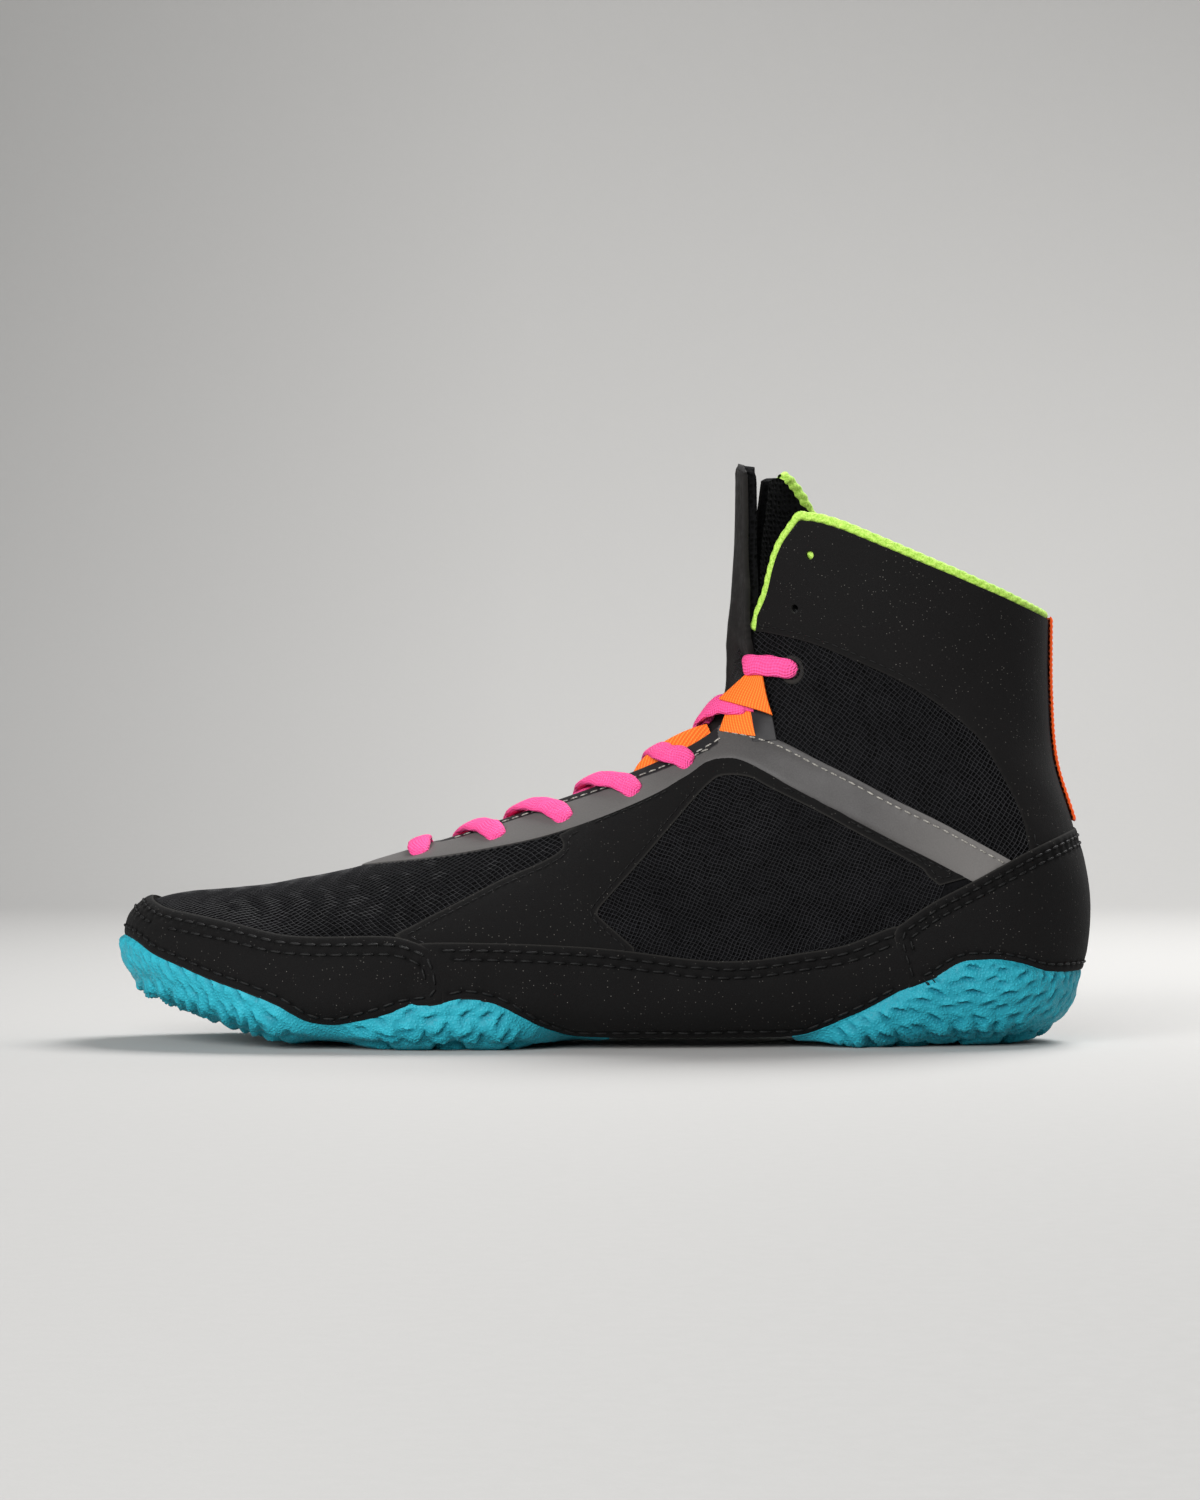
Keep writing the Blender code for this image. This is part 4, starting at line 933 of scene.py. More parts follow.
# Footbed: a thin foam board with a knitted cover, cut to the bottom of the last with a low rim
# along both sides. It is not sewn, only dropped into the bottom of the upper.
FOOTBED_LIFT = -6.0
FOOTBED_RIM = 1.2
FOOTBED_FOAM = 2.4
FOOTBED_SPAN = (2.2, 13.4)
FOOTBED_EDGE = 0.74 * math.pi
FOOTBED_ROWS = 90
FOOTBED_COLUMNS = 40
stations = np.linspace(*FOOTBED_SPAN, FOOTBED_ROWS)
turns = even_turns(stations, np.full(FOOTBED_ROWS, FOOTBED_EDGE),
                   np.full(FOOTBED_ROWS, 2.0 * math.pi - FOOTBED_EDGE), FOOTBED_COLUMNS)
rim_climb = FOOTBED_RIM * np.abs(np.linspace(-1.0, 1.0, FOOTBED_COLUMNS)) ** 6
footbed = add_grid("footbed", skin(stations[:, None], wrapped(turns), FOOTBED_LIFT + rim_climb))
apply(footbed, "SOLIDIFY", thickness=FOOTBED_FOAM * MM, offset=1.0)
apply(footbed, "BEVEL", width=0.6 * MM, segments=2, limit_method="ANGLE")
footbed_finish, tree, shader = new_finish("footbed_knit", (0.03, 0.03, 0.034), 0.9)
place = node(tree, "TexCoord").outputs["UV"]
ribs = node(tree, "TexWave", {"wave_type": "BANDS"}, Vector=place, Scale=0.42, Distortion=1.2)
colour_by(tree, shader, (0.014, 0.014, 0.016), (0.05, 0.05, 0.056), ribs.outputs["Fac"])
raise_by(tree, shader, ribs.outputs["Fac"], 0.0004, 0.6)
footbed.data.materials.append(footbed_finish)
place_on(footbed, "insole_foam", "insole")


# Suede panels: black nubuck cut with a raw edge and sewn down with heavy thread: the wrap
# round the toe, the wraps along both sides, the cup of the heel, and the thin saddle behind
# the vamp. The toe wrap and the heel cup lie over the ends of the side wraps.
SUEDE = 1.4
SADDLE = 0.6
PANEL_GAP = 0.3
TOE_WRAP_TOP = [
    (-133.2, 48.0), (-132.7, 42.1), (-127.4, 38.8), (-115.0, 36.5), (-103.6, 34.5),
    (-92.3, 32.2), (-81.4, 31.5), (-70.5, 31.6), (-59.7, 31.7), (-52.4, 29.9), (-48.8, 28.1),
    (-46.6, 24.6), (-45.4, 19.5), (-45.2, 14.4),
]
SIDE_WRAP_TOP = [
    (-53.0, 13.5), (-52.0, 22.0), (-53.0, 28.5), (-50.4, 30.2), (-29.6, 30.2),
    (-7.4, 29.3), (7.0, 28.0), (21.4, 26.1), (32.2, 25.2), (43.0, 25.6), (55.3, 27.4),
    (68.1, 29.6), (82.0, 34.8), (86.0, 33.0), (88.0, 27.1), (89.0, 20.2),
]
WRAP_AT_ARCH = 4.0
COUNTER_TOP = [
    (86.2, 17.4), (85.1, 20.2), (82.9, 27.1), (82.0, 32.0), (82.9, 34.6), (84.2, 35.7),
    (92.8, 41.5), (104.5, 47.7), (112.3, 52.0), (122.7, 57.3), (137.7, 62.8), (150.0, 63.0),
]
SADDLE_FRONT = [
    (-50.0, 28.0), (-58.5, 32.0), (-57.5, 33.6), (-43.5, 40.6), (-29.2, 47.9), (-17.6, 52.9),
    (-12.0, 56.7), (-13.0, 60.2),
]
SADDLE_TOP = [
    (-3.1, 65.4), (12.3, 71.8), (23.7, 78.0), (29.2, 81.8), (34.4, 83.1), (40.5, 82.2),
    (53.5, 75.2), (67.9, 67.6), (82.4, 60.0), (93.2, 54.6), (103.9, 49.0),
]
SADDLE_FOOT = [(8.2, 26.0), (-7.4, 27.5), (-29.6, 28.5)]
# Both ends of the loose thread tails at the front of the heel cup
THREAD_TAILS = [
    ((90.0, 20.9), (91.9, 18.5)), ((92.3, 21.1), (94.2, 18.9)), ((91.3, 19.9), (92.8, 17.6)),
]
TAIL_LIFT = 2.5


def level_lines(stations, turns, field, level):
    """Lines of the grid along which the field has one value, as stations and turns."""
    above = field > level
    mixed = above[:-1, :-1].astype(int) + above[1:, :-1] + above[:-1, 1:] + above[1:, 1:]
    real = np.minimum.reduce(face_corners(field)) >= 0.0
    links = {}
    for row, column in np.argwhere((mixed > 0) & (mixed < 4) & real):
        ring = [(row, column), (row, column + 1), (row + 1, column + 1), (row + 1, column)]
        cuts = [tuple(sorted(pair)) for pair in zip(ring, ring[1:] + ring[:1])
                if above[pair[0]] != above[pair[1]]]
        for one, other in zip(cuts[::2], cuts[1::2]):
            links.setdefault(one, []).append(other)
            links.setdefault(other, []).append(one)
    lines = []
    while links:
        ends = [key for key, joined in links.items() if len(joined) == 1]
        key = ends[0] if ends else next(iter(links))
        chain = []
        while key is not None:
            low, high = key
            share = (level - field[low]) / (field[high] - field[low])
            chain.append((stations[low] + share * (stations[high] - stations[low]),
                          turns[low] + share * (turns[high] - turns[low])))
            following = [other for other in links.pop(key) if other in links]
            key = following[0] if following else None
        if len(chain) > 4:
            lines.append(np.array(chain))
    return lines


def stitch_places(lines, lift, pitch, sewn):
    """Ends of the stitches along lines of stations and turns, as pairs of points."""
    pairs = []
    for line in lines:
        points = skin(line[:, 0], wrapped(line[:, 1]), lift(line[:, 0]))
        normal = outward(line[:, 0], wrapped(line[:, 1]))
        run = run_along(points)
        for index in range(int(run[-1] / pitch)):
            first, last = ((index + share) * pitch for share in (0.12, 0.88))
            start, end = (np.array([np.interp(mark, run, points[:, axis]) for axis in range(3)])
                          for mark in (first, last))
            way = np.array([np.interp(first, run, normal[:, axis]) for axis in range(3)])
            if sewn is None or sewn((start + end) / 2.0):
                pairs.append((start, end, way))
    return pairs


def add_stitches(name, pairs, radius, finish, slot):
    """Stitches modelled once as a stretched ball, and copied to each pair of ends."""
    bpy.ops.object.select_all(action="DESELECT")
    bpy.ops.mesh.primitive_uv_sphere_add(segments=6, ring_count=5, radius=1.0)
    ball = bpy.context.object
    shape = np.array([corner.co for corner in ball.data.vertices])[:, (2, 0, 1)]
    shape[:, 0] = np.sign(shape[:, 0]) * np.abs(shape[:, 0]) ** 0.6
    rings = [tuple(face.vertices) for face in ball.data.polygons]
    bpy.data.objects.remove(ball, do_unlink=True)
    places = []
    faces = []
    for start, end, normal in pairs:
        along = end - start
        across = np.cross(normal, along / np.linalg.norm(along))
        bow = (1.0 - shape[:, :1] ** 2) * radius * 0.5 * normal
        body = (start + end) / 2.0 + shape[:, :1] * along / 2.0 + bow
        body = body + shape[:, 1:2] * radius * across + shape[:, 2:3] * radius * 0.8 * normal
        base = len(places) * len(shape)
        places.append(body)
        faces.extend(tuple(base + corner for corner in ring) for ring in rings)
    mesh = bpy.data.meshes.new(name)
    mesh.from_pydata((np.vstack(places) * MM).tolist(), [], faces)
    made = bpy.data.objects.new(name, mesh)
    bpy.context.scene.collection.objects.link(made)
    made.data.materials.append(finish)
    place_on(made, slot, angle=80.0)


def hole_dents(points, pairs, reach, depth):
    """How deep the needle holes and the pull of the thread press a sheet in."""
    dent = np.zeros(points.shape[:-1])
    if not pairs:
        return dent
    ends = np.array([end for pair in pairs for end in pair[:2]])
    low = ends.min(axis=0) - 3.0 * reach
    high = ends.max(axis=0) + 3.0 * reach
    close = np.all((points > low) & (points < high), axis=-1)
    near = points[close]
    best = np.full(len(near), 1e9)
    for start in range(0, len(ends), 40):
        gap = np.linalg.norm(near[:, None] - ends[None, start:start + 40], axis=2)
        best = np.minimum(best, gap.min(axis=1))
    dent[close] = depth * np.exp(-(best / reach) ** 2)
    return dent


def add_panel(name, outline, span, reach, grid, lift, thickness, finish, slot, nodes, seams=(),
              thread=None, extra=None, punched=False, seam_depth=0.25, swell=0.0):
    """Sheet of the last inside an outline, sewn down along lines inset from its edge.

    The span is in stations, the reach in turns, and each seam is an inset, a pitch, a radius
    and a rule for where it is sewn. An extra field can trim it further, and a swell lifts it
    at the tip of the toe.
    """
    def field(points):
        gap = inside(points, outline)
        return gap if extra is None else np.minimum(gap, extra(points))

    marks = np.linspace(*span, grid[0])
    grid_turns = even_turns(marks, np.full(grid[0], reach[0]), np.full(grid[0], reach[1]), grid[1])
    grid_stations = np.repeat(marks[:, None], grid[1], axis=1)
    depth, kept = trimmed(grid_stations, grid_turns, field)

    def height(stations):
        return lift + thickness + swell * (1.0 - eased(stations, 0.0, 3.5))

    sewn = []
    pull = np.zeros(depth.shape)
    for inset, pitch, radius, rule in seams:
        lines = level_lines(grid_stations, grid_turns, depth, inset)
        pairs = stitch_places(lines, lambda stations: height(stations) - 0.1, pitch, rule)
        sewn.append((pairs, radius))
    points = skin(grid_stations, wrapped(grid_turns), height(grid_stations))
    for pairs, radius in sewn:
        pull += (hole_dents(points, pairs, 1.9, seam_depth)
                 + hole_dents(points, pairs, 0.75, 1.3 * seam_depth))
    roll = 0.4 * thickness * np.exp(-np.maximum(depth, 0.0) / 0.5)
    points = skin(grid_stations, wrapped(grid_turns),
                  height(grid_stations) - roll - np.minimum(pull, 0.8 * thickness))
    made = add_grid(name, points)
    keep_value(made, "edge", depth)
    keep_value(made, "pull", pull)
    delete_faces(made, ~kept)
    weld(made)
    apply(made, "SOLIDIFY", thickness=thickness * MM, offset=-1.0)
    if punched:
        punch(made)
    made.data.materials.append(finish)
    place_on(made, slot, *nodes, angle=50.0)
    for index, (pairs, radius) in enumerate(sewn):
        if pairs:
            add_stitches("%s_stitch_%d" % (name, index + 1), pairs, radius, thread, slot)
    return made


def nap_finish(name, colour, speck_share):
    """Black napped finish: uneven tone, pale specks of lint, a paler raw edge, and painted shade in the
    needle holes and the dents round them.
    """
    made, tree, shader = new_finish(name, colour, 0.88, 0.1)
    shader.inputs["Sheen Weight"].default_value = 0.015
    place = node(tree, "TexCoord").outputs["Object"]
    cloudy = noise(tree, place, 70.0, 4.0, 0.6)
    fibre = noise(tree, place, 2300.0, 3.0, 0.7)
    dark = tuple(0.3 * part for part in colour)
    light = tuple(2.0 * part for part in colour)
    tone = maths(tree, "MULTIPLY_ADD", fibre, 0.6, maths(tree, "MULTIPLY", cloudy, 0.5))
    lint = node(tree, "TexVoronoi", {"feature": "F1"}, Vector=place, Scale=1050.0)
    picks = node(tree, "SeparateColor", None, Color=lint.outputs["Color"])
    chosen = maths(tree, "GREATER_THAN", picks.outputs[0], 1.0 - speck_share)
    speck = maths(tree, "MULTIPLY", maths(tree, "LESS_THAN", lint.outputs["Distance"], 0.15), chosen)
    speck = maths(tree, "MULTIPLY", speck, spread(tree, picks.outputs[1], 0.0, 1.0, 0.08, 0.75))
    raw = spread(tree, stored(tree, "edge"), 0.0, 0.6, 0.12, 0.0)
    linty = between(tree, between(tree, dark, light, tone), (0.135, 0.128, 0.115),
                    maths(tree, "MAXIMUM", speck, raw))
    # Painted shade: the nap is darkened almost to black where the stitches press it in, in the needle holes
    # and the dents round them.
    dent_shade = spread(tree, stored(tree, "pull"), 0.2, 0.6, 0.0, 0.9)
    colour_by(tree, shader, linty, (0.001, 0.001, 0.001), dent_shade)
    dull_by(tree, shader, cloudy, 0.78, 0.95)
    raise_by(tree, shader, fibre, 0.0002, 0.5)
    raise_by(tree, shader, noise(tree, place, 380.0, 3.0), 0.0004, 0.25)
    return made


def thread_finish(name, dark, light):
    """Twisted sewing thread."""
    made, tree, shader = new_finish(name, light, 0.6, 0.2)
    strand = noise(tree, node(tree, "TexCoord").outputs["Object"], 1900.0, 2.0)
    colour_by(tree, shader, dark, light, spread(tree, strand, 0.35, 0.65, 0.0, 1.0))
    raise_by(tree, shader, strand, 0.0002, 0.6)
    return made


suede_finish = nap_finish("black_suede", (0.0042, 0.004, 0.004), 0.4)
black_thread = thread_finish("black_thread", (0.002, 0.002, 0.002), (0.008, 0.008, 0.008))
# Turns that a panel may cover: all round, and on the outer or the inner side alone
FULL = (0.02, 2.0 * math.pi - 0.02)
LATERAL = (0.05, math.pi - 0.02)
MEDIAL = (math.pi + 0.02, 2.0 * math.pi - 0.05)


def rubber_line(edge, low, high):
    """Part of the line along which the suede ends on the rubber."""
    line = smooth_line(edge)
    return line[(line[:, 0] >= low) & (line[:, 0] <= high)]


def above_line(places, heights, low=-math.inf, high=math.inf):
    """Rule for a seam: sewn between two places along the shoe, above a line seen from the side."""
    return lambda at: low < at[0] < high and at[2] > np.interp(at[0], places, heights)


toe_outline = np.vstack([smooth_line(TOE_WRAP_TOP), rubber_line(FOREFOOT_EDGE, -150.0, -46.0)[::-1],
                         [(-150.0, 48.0)]])
add_panel("toe_wrap_suede", toe_outline, span=(0.0, 7.6), reach=FULL, grid=(175, 270),
          lift=PANEL_GAP + 0.3, thickness=SUEDE, finish=suede_finish, slot="suede",
          nodes=["toe_wrap"], thread=black_thread, swell=0.9, seams=[
              (2.4, 4.5, 0.42, None),
              (4.9, 4.5, 0.42, above_line([-140, -115, -92, -80, -45], [38, 31, 25, 19, 19]))])

arch_line = [(57.5, WRAP_AT_ARCH + 0.4), (50.0, WRAP_AT_ARCH), (-7.0, WRAP_AT_ARCH)]
wrap_outline = np.vstack([smooth_line(SIDE_WRAP_TOP), rubber_line(HEEL_EDGE, 60.0, 88.0)[::-1], arch_line,
                          rubber_line(FOREFOOT_EDGE, -53.0, -8.0)[::-1]])
saddle_outline = np.vstack([smooth_line(SADDLE_FRONT), smooth_line(SADDLE_TOP),
                            smooth_line(QUARTER_WINDOW), SADDLE_FOOT])
for reach, suffix in ((LATERAL, "_lateral"), (MEDIAL, "_medial")):
    add_panel("side_wrap_suede" + suffix, wrap_outline, span=(6.3, 15.6), reach=reach,
              grid=(230, 150), lift=PANEL_GAP, thickness=SUEDE, finish=suede_finish, slot="suede",
              nodes=["side_wrap" + suffix], thread=black_thread, seams=[
                  (2.3, 4.7, 0.4, lambda at: -44.0 < at[0] < 82.0),
                  (4.7, 4.7, 0.4, lambda at: -44.0 < at[0] < 82.0 and at[2] > 20.5)])
    add_panel("saddle_suede" + suffix, saddle_outline, span=(6.2, 15.0), reach=reach,
              grid=(250, 150), lift=PANEL_GAP, thickness=SADDLE, finish=suede_finish, slot="suede",
              nodes=["saddle" + suffix], thread=black_thread, seam_depth=0.12, seams=[
                  (1.7, 2.6, 0.22, lambda at: at[0] < -8.0 or (at[2] < 74.0 and at[0] > -4.0))])

counter_outline = np.vstack([smooth_line(COUNTER_TOP), rubber_line(HEEL_EDGE, 86.5, 150.0)[::-1]])
add_panel("heel_cup_suede", counter_outline, span=(10.6, 17.6),
          reach=(0.35 * math.pi, 1.65 * math.pi), grid=(200, 240), lift=PANEL_GAP + 0.3,
          thickness=SUEDE, finish=suede_finish, slot="suede", nodes=["heel_counter"],
          thread=black_thread, seams=[
              (2.3, 3.6, 0.36, None),
              (4.6, 3.6, 0.36, above_line([82, 90, 105], [26, 30, 36]))])
tails = []
for tail in np.array(THREAD_TAILS):
    tail_stations, tail_angles = find_on_last(tail[:, 0], tail[:, 1], -1.0)
    ends = skin(tail_stations, tail_angles, TAIL_LIFT)
    tails.append((ends[0], ends[1], outward(tail_stations, tail_angles)[0]))
add_stitches("heel_cup_thread_tails", tails, 0.2, black_thread, "suede")


# Lace stay: grey reflective film on a thin backing, one piece from the front of the throat up
# both edges and back down each side as a stripe. Its throat edge is bound in a darker fold.
FILM = 0.8
FOLD_END = 33.0
STAY_LOWER = [
    (-77.0, 50.35), (-70.8, 51.0), (-65.2, 51.7), (-49.3, 53.6), (-33.8, 56.2),
    (-18.4, 59.5), (-3.1, 64.4), (12.3, 70.8), (23.7, 77.0), (29.2, 80.8), (34.4, 82.1),
    (40.5, 81.2), (53.5, 74.2), (67.9, 66.6), (82.4, 59.0), (93.2, 53.6), (106.5, 46.5),
]
STAY_UPPER = [
    (118.0, 52.0), (96.9, 63.7), (82.4, 70.9), (71.6, 76.8), (60.8, 82.2), (50.8, 87.3),
    (43.0, 89.9), (34.4, 91.7), (30.5, 93.0),
]
STAY_LID = [(28.0, 106.0), (-40.0, 106.0)]


def throat_side(points):
    """Distance outside the throat, on the top half of the last."""
    marks = np.linspace(6.0, 16.0, 400)
    ridge_x = last_point(marks, 0.0)[:, 0]
    station = np.interp(points[..., 0], ridge_x, marks)
    lateral = points[..., 1] < section(station)["axis"]
    gap = np.where(lateral, throat_gap(station, -1), throat_gap(station, 1))
    front = np.maximum(last_point(THROAT[0, 0], 0.0)[0] - points[..., 0], 0.0)
    away = np.abs(points[..., 1] - section(station)["axis"]) - gap
    return np.where(station < THROAT[0, 0], np.maximum(front, away), away)


film_finish, tree, shader = new_finish("reflective_film", (0.12, 0.113, 0.115), 0.42, 0.14)
place = node(tree, "TexCoord").outputs["Object"]
along = node(tree, "SeparateXYZ", None, Vector=place).outputs["X"]
beads = noise(tree, place, 2400.0, 2.0, 0.6)
# Painted light: the film is darkest in the middle of the stripe, lighter towards the front and much lighter
# towards the back, where the light from the right falls on it. The beads add a fine random grain.
tone = maths(tree, "MAXIMUM", spread(tree, along, 0.01, 0.045, 0.5, 0.0),
             spread(tree, along, 0.074, 0.112, 0.0, 0.9))
tone = maths(tree, "MULTIPLY_ADD", beads, 0.35, tone)
ground_with_painted_light = between(tree, (0.04, 0.038, 0.038), (0.14, 0.133, 0.128), tone)
fold = spread(tree, stored(tree, "fold"), 4.6, 5.1, 1.0, 0.0)
colour_by(tree, shader, ground_with_painted_light, (0.018, 0.017, 0.018), fold)
dull_by(tree, shader, noise(tree, place, 60.0, 3.0), 0.34, 0.5)
raise_by(tree, shader, beads, 0.00012, 0.4)
raise_by(tree, shader, noise(tree, place, 140.0, 2.0), 0.0006, 0.2)
grey_thread = thread_finish("grey_thread", (0.1, 0.095, 0.088), (0.42, 0.4, 0.36))

stay_outline = np.vstack([smooth_line(STAY_LOWER), smooth_line(STAY_UPPER), STAY_LID])
throat_seam = above_line([-72, -55, -30, 0, 20, 34], [54, 57, 62.5, 71.5, 79.5, 87], high=34.0)
stripe_seam = above_line([34, 60, 118], [86, 78.5, 48.5], low=34.0)
stay = add_panel("lace_stay_film", stay_outline, span=(5.6, 15.6),
                 reach=(-0.62 * math.pi, 0.62 * math.pi), grid=(300, 210), lift=PANEL_GAP,
                 thickness=FILM, finish=film_finish, slot="reflective_film", nodes=["eyestay"],
                 extra=throat_side, punched=True, thread=grey_thread, seam_depth=0.16,
                 seams=[(3.2, 3.0, 0.27, throat_seam), (1.6, 3.0, 0.27, stripe_seam)])

places = np.array([corner.co for corner in stay.data.vertices]) / MM
keep_value(stay, "fold", np.where(places[:, 0] < FOLD_END, throat_side(places), 99.0))


# Ankle cuff: black brushed microfibre round the top of the shaft, turned under at its lower
# edge and sewn once; two spare eyelets are punched through it on each side.
CUFF = 0.8
CUFF_ROWS = 125
CUFF_COLUMNS = 150
CUFF_STITCH = 3.0
CUFF_LOWER = [
    (30.0, 119.6), (43.8, 119.3), (49.9, 118.2), (60.5, 115.2), (71.2, 110.6),
    (80.2, 106.5), (89.3, 101.5), (98.3, 95.2), (105.6, 88.8), (110.2, 82.4),
    (116.2, 71.6), (119.2, 64.3), (121.2, 55.0),
]
cuff_finish = nap_finish("cuff_microfibre", (0.005, 0.0047, 0.0047), 0.5)
cuff_outline = np.vstack([smooth_line(CUFF_LOWER), [(150.0, 58.0), (150.0, 190.0), (30.0, 190.0)]])
marks = np.linspace(13.4, RIM, CUFF_ROWS)
cuff_turns = even_turns(marks, *throat_turns(marks, 0.012), CUFF_COLUMNS)
cuff_stations = on_rim(np.repeat(marks[:, None], CUFF_COLUMNS, axis=1), wrapped(cuff_turns))
depth, kept = trimmed(cuff_stations, cuff_turns, lambda points: inside(points, cuff_outline))
pairs = stitch_places(
    level_lines(cuff_stations, cuff_turns, depth, 1.8), lambda stations: PANEL_GAP + CUFF - 0.05, CUFF_STITCH,
    lambda at: at[2] < np.interp(at[0], [40, 60, 90, 110, 122], [124, 119, 105, 86, 60]))
points = skin(cuff_stations, wrapped(cuff_turns), PANEL_GAP + CUFF)
pull = hole_dents(points, pairs, 1.6, 0.14)
roll = 0.35 * CUFF * np.exp(-np.maximum(depth, 0.0) / 0.6)
points = skin(cuff_stations, wrapped(cuff_turns), PANEL_GAP + CUFF - roll - pull)
cuff = add_grid("ankle_cuff_cloth", points)
keep_value(cuff, "edge", np.maximum(depth, 0.45))
delete_faces(cuff, ~kept)
weld(cuff)
apply(cuff, "SOLIDIFY", thickness=CUFF * MM, offset=-1.0)
punch(cuff)
cuff.data.materials.append(cuff_finish)
place_on(cuff, "cuff_twill", "ankle_cuff", angle=50.0)
add_stitches("ankle_cuff_stitch", pairs, 0.22, black_thread, "cuff_twill")


# Heel tape: an orange-red ribbed tape sewn over the seam at the back of the shaft, between the
# heel cup and the collar. The ribs run across it, so its edge looks toothed from the side.
TAPE = 0.6
TAPE_HALF = 6.0
TAPE_SPAN = (64.0, 123.2)
TAPE_RIB = 1.6
TAPE_LIFT = 1.25
RIB_HEIGHT = 0.4
tape_marks = np.linspace(16.6, 20.0, 400)
tape_heights = last_point(tape_marks, math.pi)[:, 2]
heights = np.linspace(*TAPE_SPAN, 220)
stations = np.interp(heights, tape_heights, tape_marks)
across = np.linspace(-TAPE_HALF, TAPE_HALF, 17)
row = section(stations[:, None])
side_reach = np.where(across < 0.0, row["lateral"], row["medial"])
lean = np.arcsin((np.abs(across) / side_reach) ** (row["bottom_power"] / 2.0))
tape_angles = np.where(across < 0.0, -1.0, 1.0) * (math.pi - lean)
selvedge = 1.0 - 0.3 * (np.abs(across) / TAPE_HALF) ** 6
rib = np.abs(np.sin(math.pi * heights / TAPE_RIB))[:, None] * selvedge
points = skin(stations[:, None], tape_angles, TAPE_LIFT + 0.5 * TAPE + RIB_HEIGHT * rib)
tape = add_grid("heel_tape_weave", points[:, ::-1])
keep_value(tape, "rib", np.broadcast_to(rib, tape_angles.shape))
apply(tape, "SOLIDIFY", thickness=TAPE * MM, offset=-1.0)
tape_finish, tree, shader = new_finish("orange_tape", (0.9, 0.075, 0.02), 0.8, 0.15)
thread = noise(tree, node(tree, "TexCoord").outputs["Object"], 1700.0, 2.0)
# Painted shade: the tape is darker in the troughs between the ribs and lighter on their crests, by the stored
# rib height. The thread noise adds random tone.
tone = maths(tree, "MULTIPLY_ADD", thread, 0.4, maths(tree, "MULTIPLY", stored(tree, "rib"), 0.7))
colour_by(tree, shader, (0.82, 0.05, 0.006), (1.0, 0.15, 0.02), tone)
raise_by(tree, shader, thread, 0.0003, 0.5)
tape.data.materials.append(tape_finish)
place_on(tape, "seam_tape", "heel_tape", angle=70.0)


# Tongue: a padded strap under the throat that stands free above the ankle, a smooth face
# cloth in front of a spacer-mesh back. Both are sewn together at the raw edge.
TONGUE_FACE = 1.9
TONGUE_BACK = 2.9
TONGUE_UNDER_EDGE = -3.7
# Station, half width of the tongue and how far it stands out of the last
TONGUE_TABLE = np.array([
    (6.0, 20.0, -3.7), (8.0, 24.0, -3.0), (10.0, 26.0, -2.4), (11.0, 26.0, -2.0),
    (12.0, 22.0, -0.6), (13.0, 14.5, 1.7), (14.0, 12.0, 2.9), (15.0, 11.6, 3.2),
    (16.0, 11.6, 3.2), (18.0, 12.0, 3.6), (20.0, 12.0, 4.5), (20.5, 11.8, 4.9),
])


def tongue_points(rows, columns, lift, narrower, top):
    """Points of the tongue at a lift from its face."""
    marks = np.linspace(6.0, top, rows)
    width = np.interp(marks, TONGUE_TABLE[:, 0], TONGUE_TABLE[:, 1]) - narrower
    width = width * (1.0 - 0.35 * eased(marks, top - 0.35, top) ** 2)
    stand = np.interp(marks, TONGUE_TABLE[:, 0], TONGUE_TABLE[:, 2])
    spread_out = np.linspace(-1.0, 1.0, columns) * width[:, None]
    gap = np.where(spread_out < 0.0, throat_gap(marks, -1)[:, None], throat_gap(marks, 1)[:, None])
    free = eased(marks, 12.4, 15.0)[:, None]
    near = 1.0 - eased(np.abs(spread_out), 0.1 * gap, np.maximum(gap - 4.0, 1.0))
    bulge = near + (1.0 - near) * free * 0.8
    rise = TONGUE_UNDER_EDGE + (stand[:, None] - TONGUE_UNDER_EDGE) * bulge + lift
    rise = rise + 2.2 * free * (spread_out / width[:, None]) ** 2
    rise = rise - 1.6 * eased(marks, top - 0.22, top)[:, None] ** 2
    return skin(marks[:, None], angle_at(marks[:, None], spread_out), rise)


face_finish, tree, shader = new_finish("tongue_face_cloth", (0.014, 0.014, 0.015), 0.6, 0.2)
place = node(tree, "TexCoord").outputs["UV"]
waves = node(tree, "TexWave", {"wave_type": "BANDS"}, Vector=place, Scale=0.5, Distortion=2.0, Detail=1.0)
ribs = waves.outputs["Fac"]
solid_place = node(tree, "TexCoord").outputs["Object"]
tone = maths(tree, "MULTIPLY_ADD", noise(tree, solid_place, 900.0, 3.0), 0.6,
             maths(tree, "MULTIPLY", ribs, 0.35))
colour_by(tree, shader, (0.0035, 0.0032, 0.003), (0.0135, 0.0118, 0.011), tone)
dull_by(tree, shader, noise(tree, solid_place, 300.0), 0.5, 0.72)
raise_by(tree, shader, ribs, 0.0002, 0.35)
points = tongue_points(rows=120, columns=41, lift=0.0, narrower=0.0, top=20.5)
tongue_face = add_grid("tongue_face", points[:, ::-1])
apply(tongue_face, "SOLIDIFY", thickness=TONGUE_FACE * MM, offset=-1.0)
apply(tongue_face, "BEVEL", width=0.5 * MM, segments=2, limit_method="ANGLE", angle_limit=0.9)
tongue_face.data.materials.append(face_finish)
place_on(tongue_face, "tongue_face", "tongue")

points = tongue_points(rows=90, columns=31, lift=-TONGUE_FACE - 0.15, narrower=0.6, top=20.45)
tongue_back = add_grid("tongue_back", points[:, ::-1])
apply(tongue_back, "SOLIDIFY", thickness=TONGUE_BACK * MM, offset=-1.0)
apply(tongue_back, "BEVEL", width=0.9 * MM, segments=2, limit_method="ANGLE", angle_limit=0.9)
tongue_back.data.materials.append(upper_finish)
place_on(tongue_back, "tongue_face")


